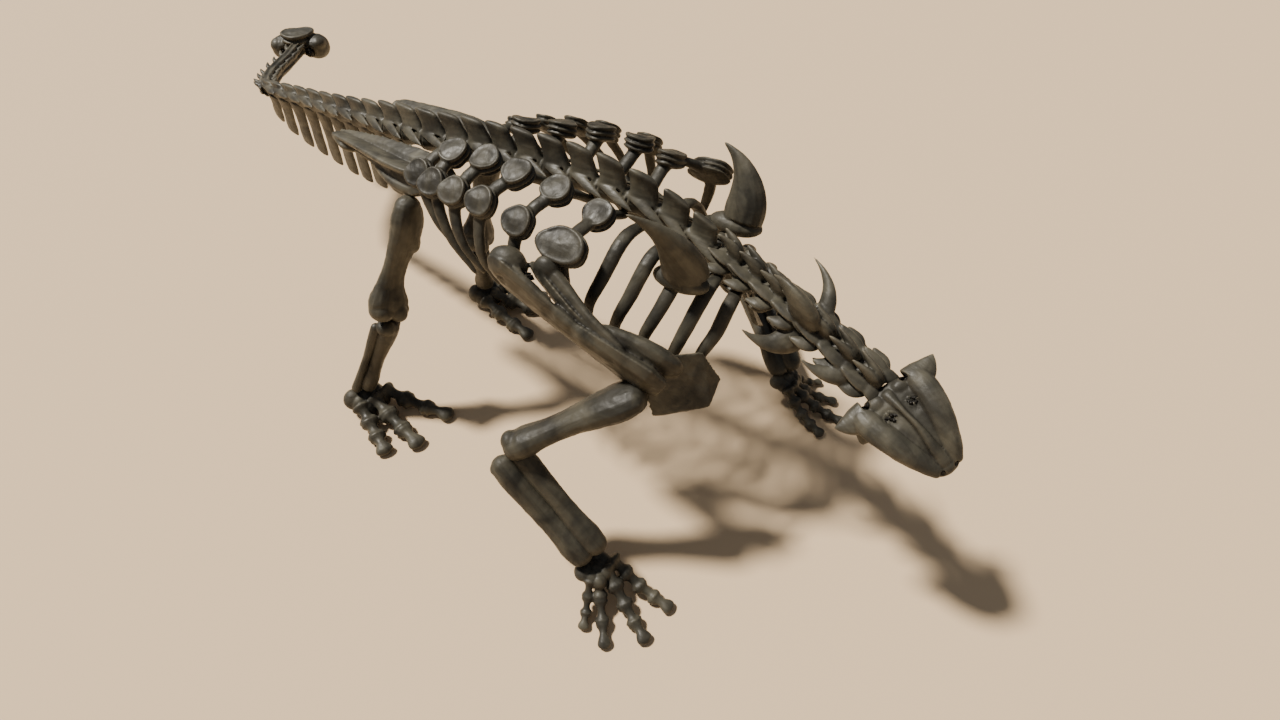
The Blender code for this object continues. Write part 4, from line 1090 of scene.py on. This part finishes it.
class SKELETON_OT_hands_and_feet(Operator):
    """Build the hands and the feet"""
    bl_idname = "skeleton.hands_and_feet"
    bl_label = "Hands and feet"

    def execute(self, context):
        grid = settings().fine_grid
        for side in SIDES:
            autopod("hand_", Vector(ARM_JOINTS[side][1]), side, 0.08, 0.085, 0.175, FINGER_TIPS[side], 0.04,
                    grid * 0.9)
        for side in SIDES:
            autopod("foot_", mirrored(ANKLE, side, HIND_MIDDLE), side, 0.1, 0.0, 0.15, TOE_TIPS, 0.052, grid)
        return {"FINISHED"}


# Stage

class SKELETON_OT_stage(Operator):
    """Add the plain floor, the soft light and the camera"""
    bl_idname = "skeleton.stage"
    bl_label = "Stage"

    def execute(self, context):
        chosen = context.scene.stage_settings
        floor = fresh(bpy.ops.mesh.primitive_plane_add, size=FLOOR_SIZE, location=(0, 0, 0))
        floor.name = "floor"
        material = bpy.data.materials.new("Plain floor")
        material.use_nodes = True
        shader = material.node_tree.nodes["Principled BSDF"]
        shader.inputs["Base Color"].default_value = (*chosen.floor_colour, 1.0)
        shader.inputs["Roughness"].default_value = 0.9
        floor.data.materials.append(material)

        key = bpy.data.lights.new("Key", "SUN")
        key.energy = chosen.key
        key.angle = chosen.key_spread
        key.color = (1.0, 0.94, 0.84)
        lamp = bpy.data.objects.new("Key", key)
        lamp.rotation_euler = Vector(SUN_DIRECTION).to_track_quat("-Z", "Y").to_euler()
        context.collection.objects.link(lamp)

        world = context.scene.world or bpy.data.worlds.new("Soft room")
        context.scene.world = world
        world.use_nodes = True
        background = world.node_tree.nodes["Background"]
        background.inputs["Color"].default_value = (0.93, 0.95, 1.0, 1.0)
        background.inputs["Strength"].default_value = chosen.fill

        heading, pitch = chosen.heading, chosen.pitch
        level = Vector((math.cos(heading), math.sin(heading), 0))
        forward = level * math.cos(pitch) - Vector((0, 0, math.sin(pitch)))
        right = Vector((math.sin(heading), -math.cos(heading), 0))
        up = right.cross(forward)
        view = Matrix((right, up, -forward)).transposed().to_4x4()
        view.translation = Vector((*CAMERA_PLACE, chosen.camera_height)) + SHIFT
        camera = bpy.data.cameras.new("Camera")
        camera.lens = chosen.lens
        camera.sensor_width = 36.0
        camera.clip_start = 0.01
        holder = bpy.data.objects.new("Camera", camera)
        holder.matrix_world = view
        context.collection.objects.link(holder)
        context.scene.camera = holder
        return {"FINISHED"}


STEPS = (SKELETON_OT_spine, SKELETON_OT_club, SKELETON_OT_ribs, SKELETON_OT_spikes, SKELETON_OT_head,
         SKELETON_OT_shoulders, SKELETON_OT_hips, SKELETON_OT_hind_limbs, SKELETON_OT_fore_limbs,
         SKELETON_OT_hands_and_feet, SKELETON_OT_stage)


class SKELETON_PT_builder(Panel):
    """Settings and steps of the skeleton"""
    bl_idname = "SKELETON_PT_builder"
    bl_label = "Dinosaur skeleton"
    bl_space_type = "VIEW_3D"
    bl_region_type = "UI"
    bl_category = "Skeleton"

    def draw(self, context):
        for group in (context.scene.bone_settings, context.scene.stage_settings):
            box = self.layout.box()
            for name in group.__annotations__:
                box.prop(group, name)
        for step in STEPS:
            self.layout.operator(step.bl_idname)


CLASSES = (BoneSettings, StageSettings) + STEPS + (SKELETON_PT_builder,)


def register():
    for made in CLASSES:
        bpy.utils.register_class(made)
    bpy.types.Scene.bone_settings = PointerProperty(type=BoneSettings)
    bpy.types.Scene.stage_settings = PointerProperty(type=StageSettings)


def unregister():
    del bpy.types.Scene.stage_settings
    del bpy.types.Scene.bone_settings
    for made in reversed(CLASSES):
        bpy.utils.unregister_class(made)


def main():
    register()
    bpy.ops.skeleton.spine()
    bpy.ops.skeleton.club()
    bpy.ops.skeleton.ribs()
    bpy.ops.skeleton.spikes()
    bpy.ops.skeleton.head()
    bpy.ops.skeleton.shoulders()
    bpy.ops.skeleton.hips()
    bpy.ops.skeleton.hind_limbs()
    bpy.ops.skeleton.fore_limbs()
    bpy.ops.skeleton.hands_and_feet()
    bpy.ops.skeleton.stage()


if __name__ == "__main__":
    main()
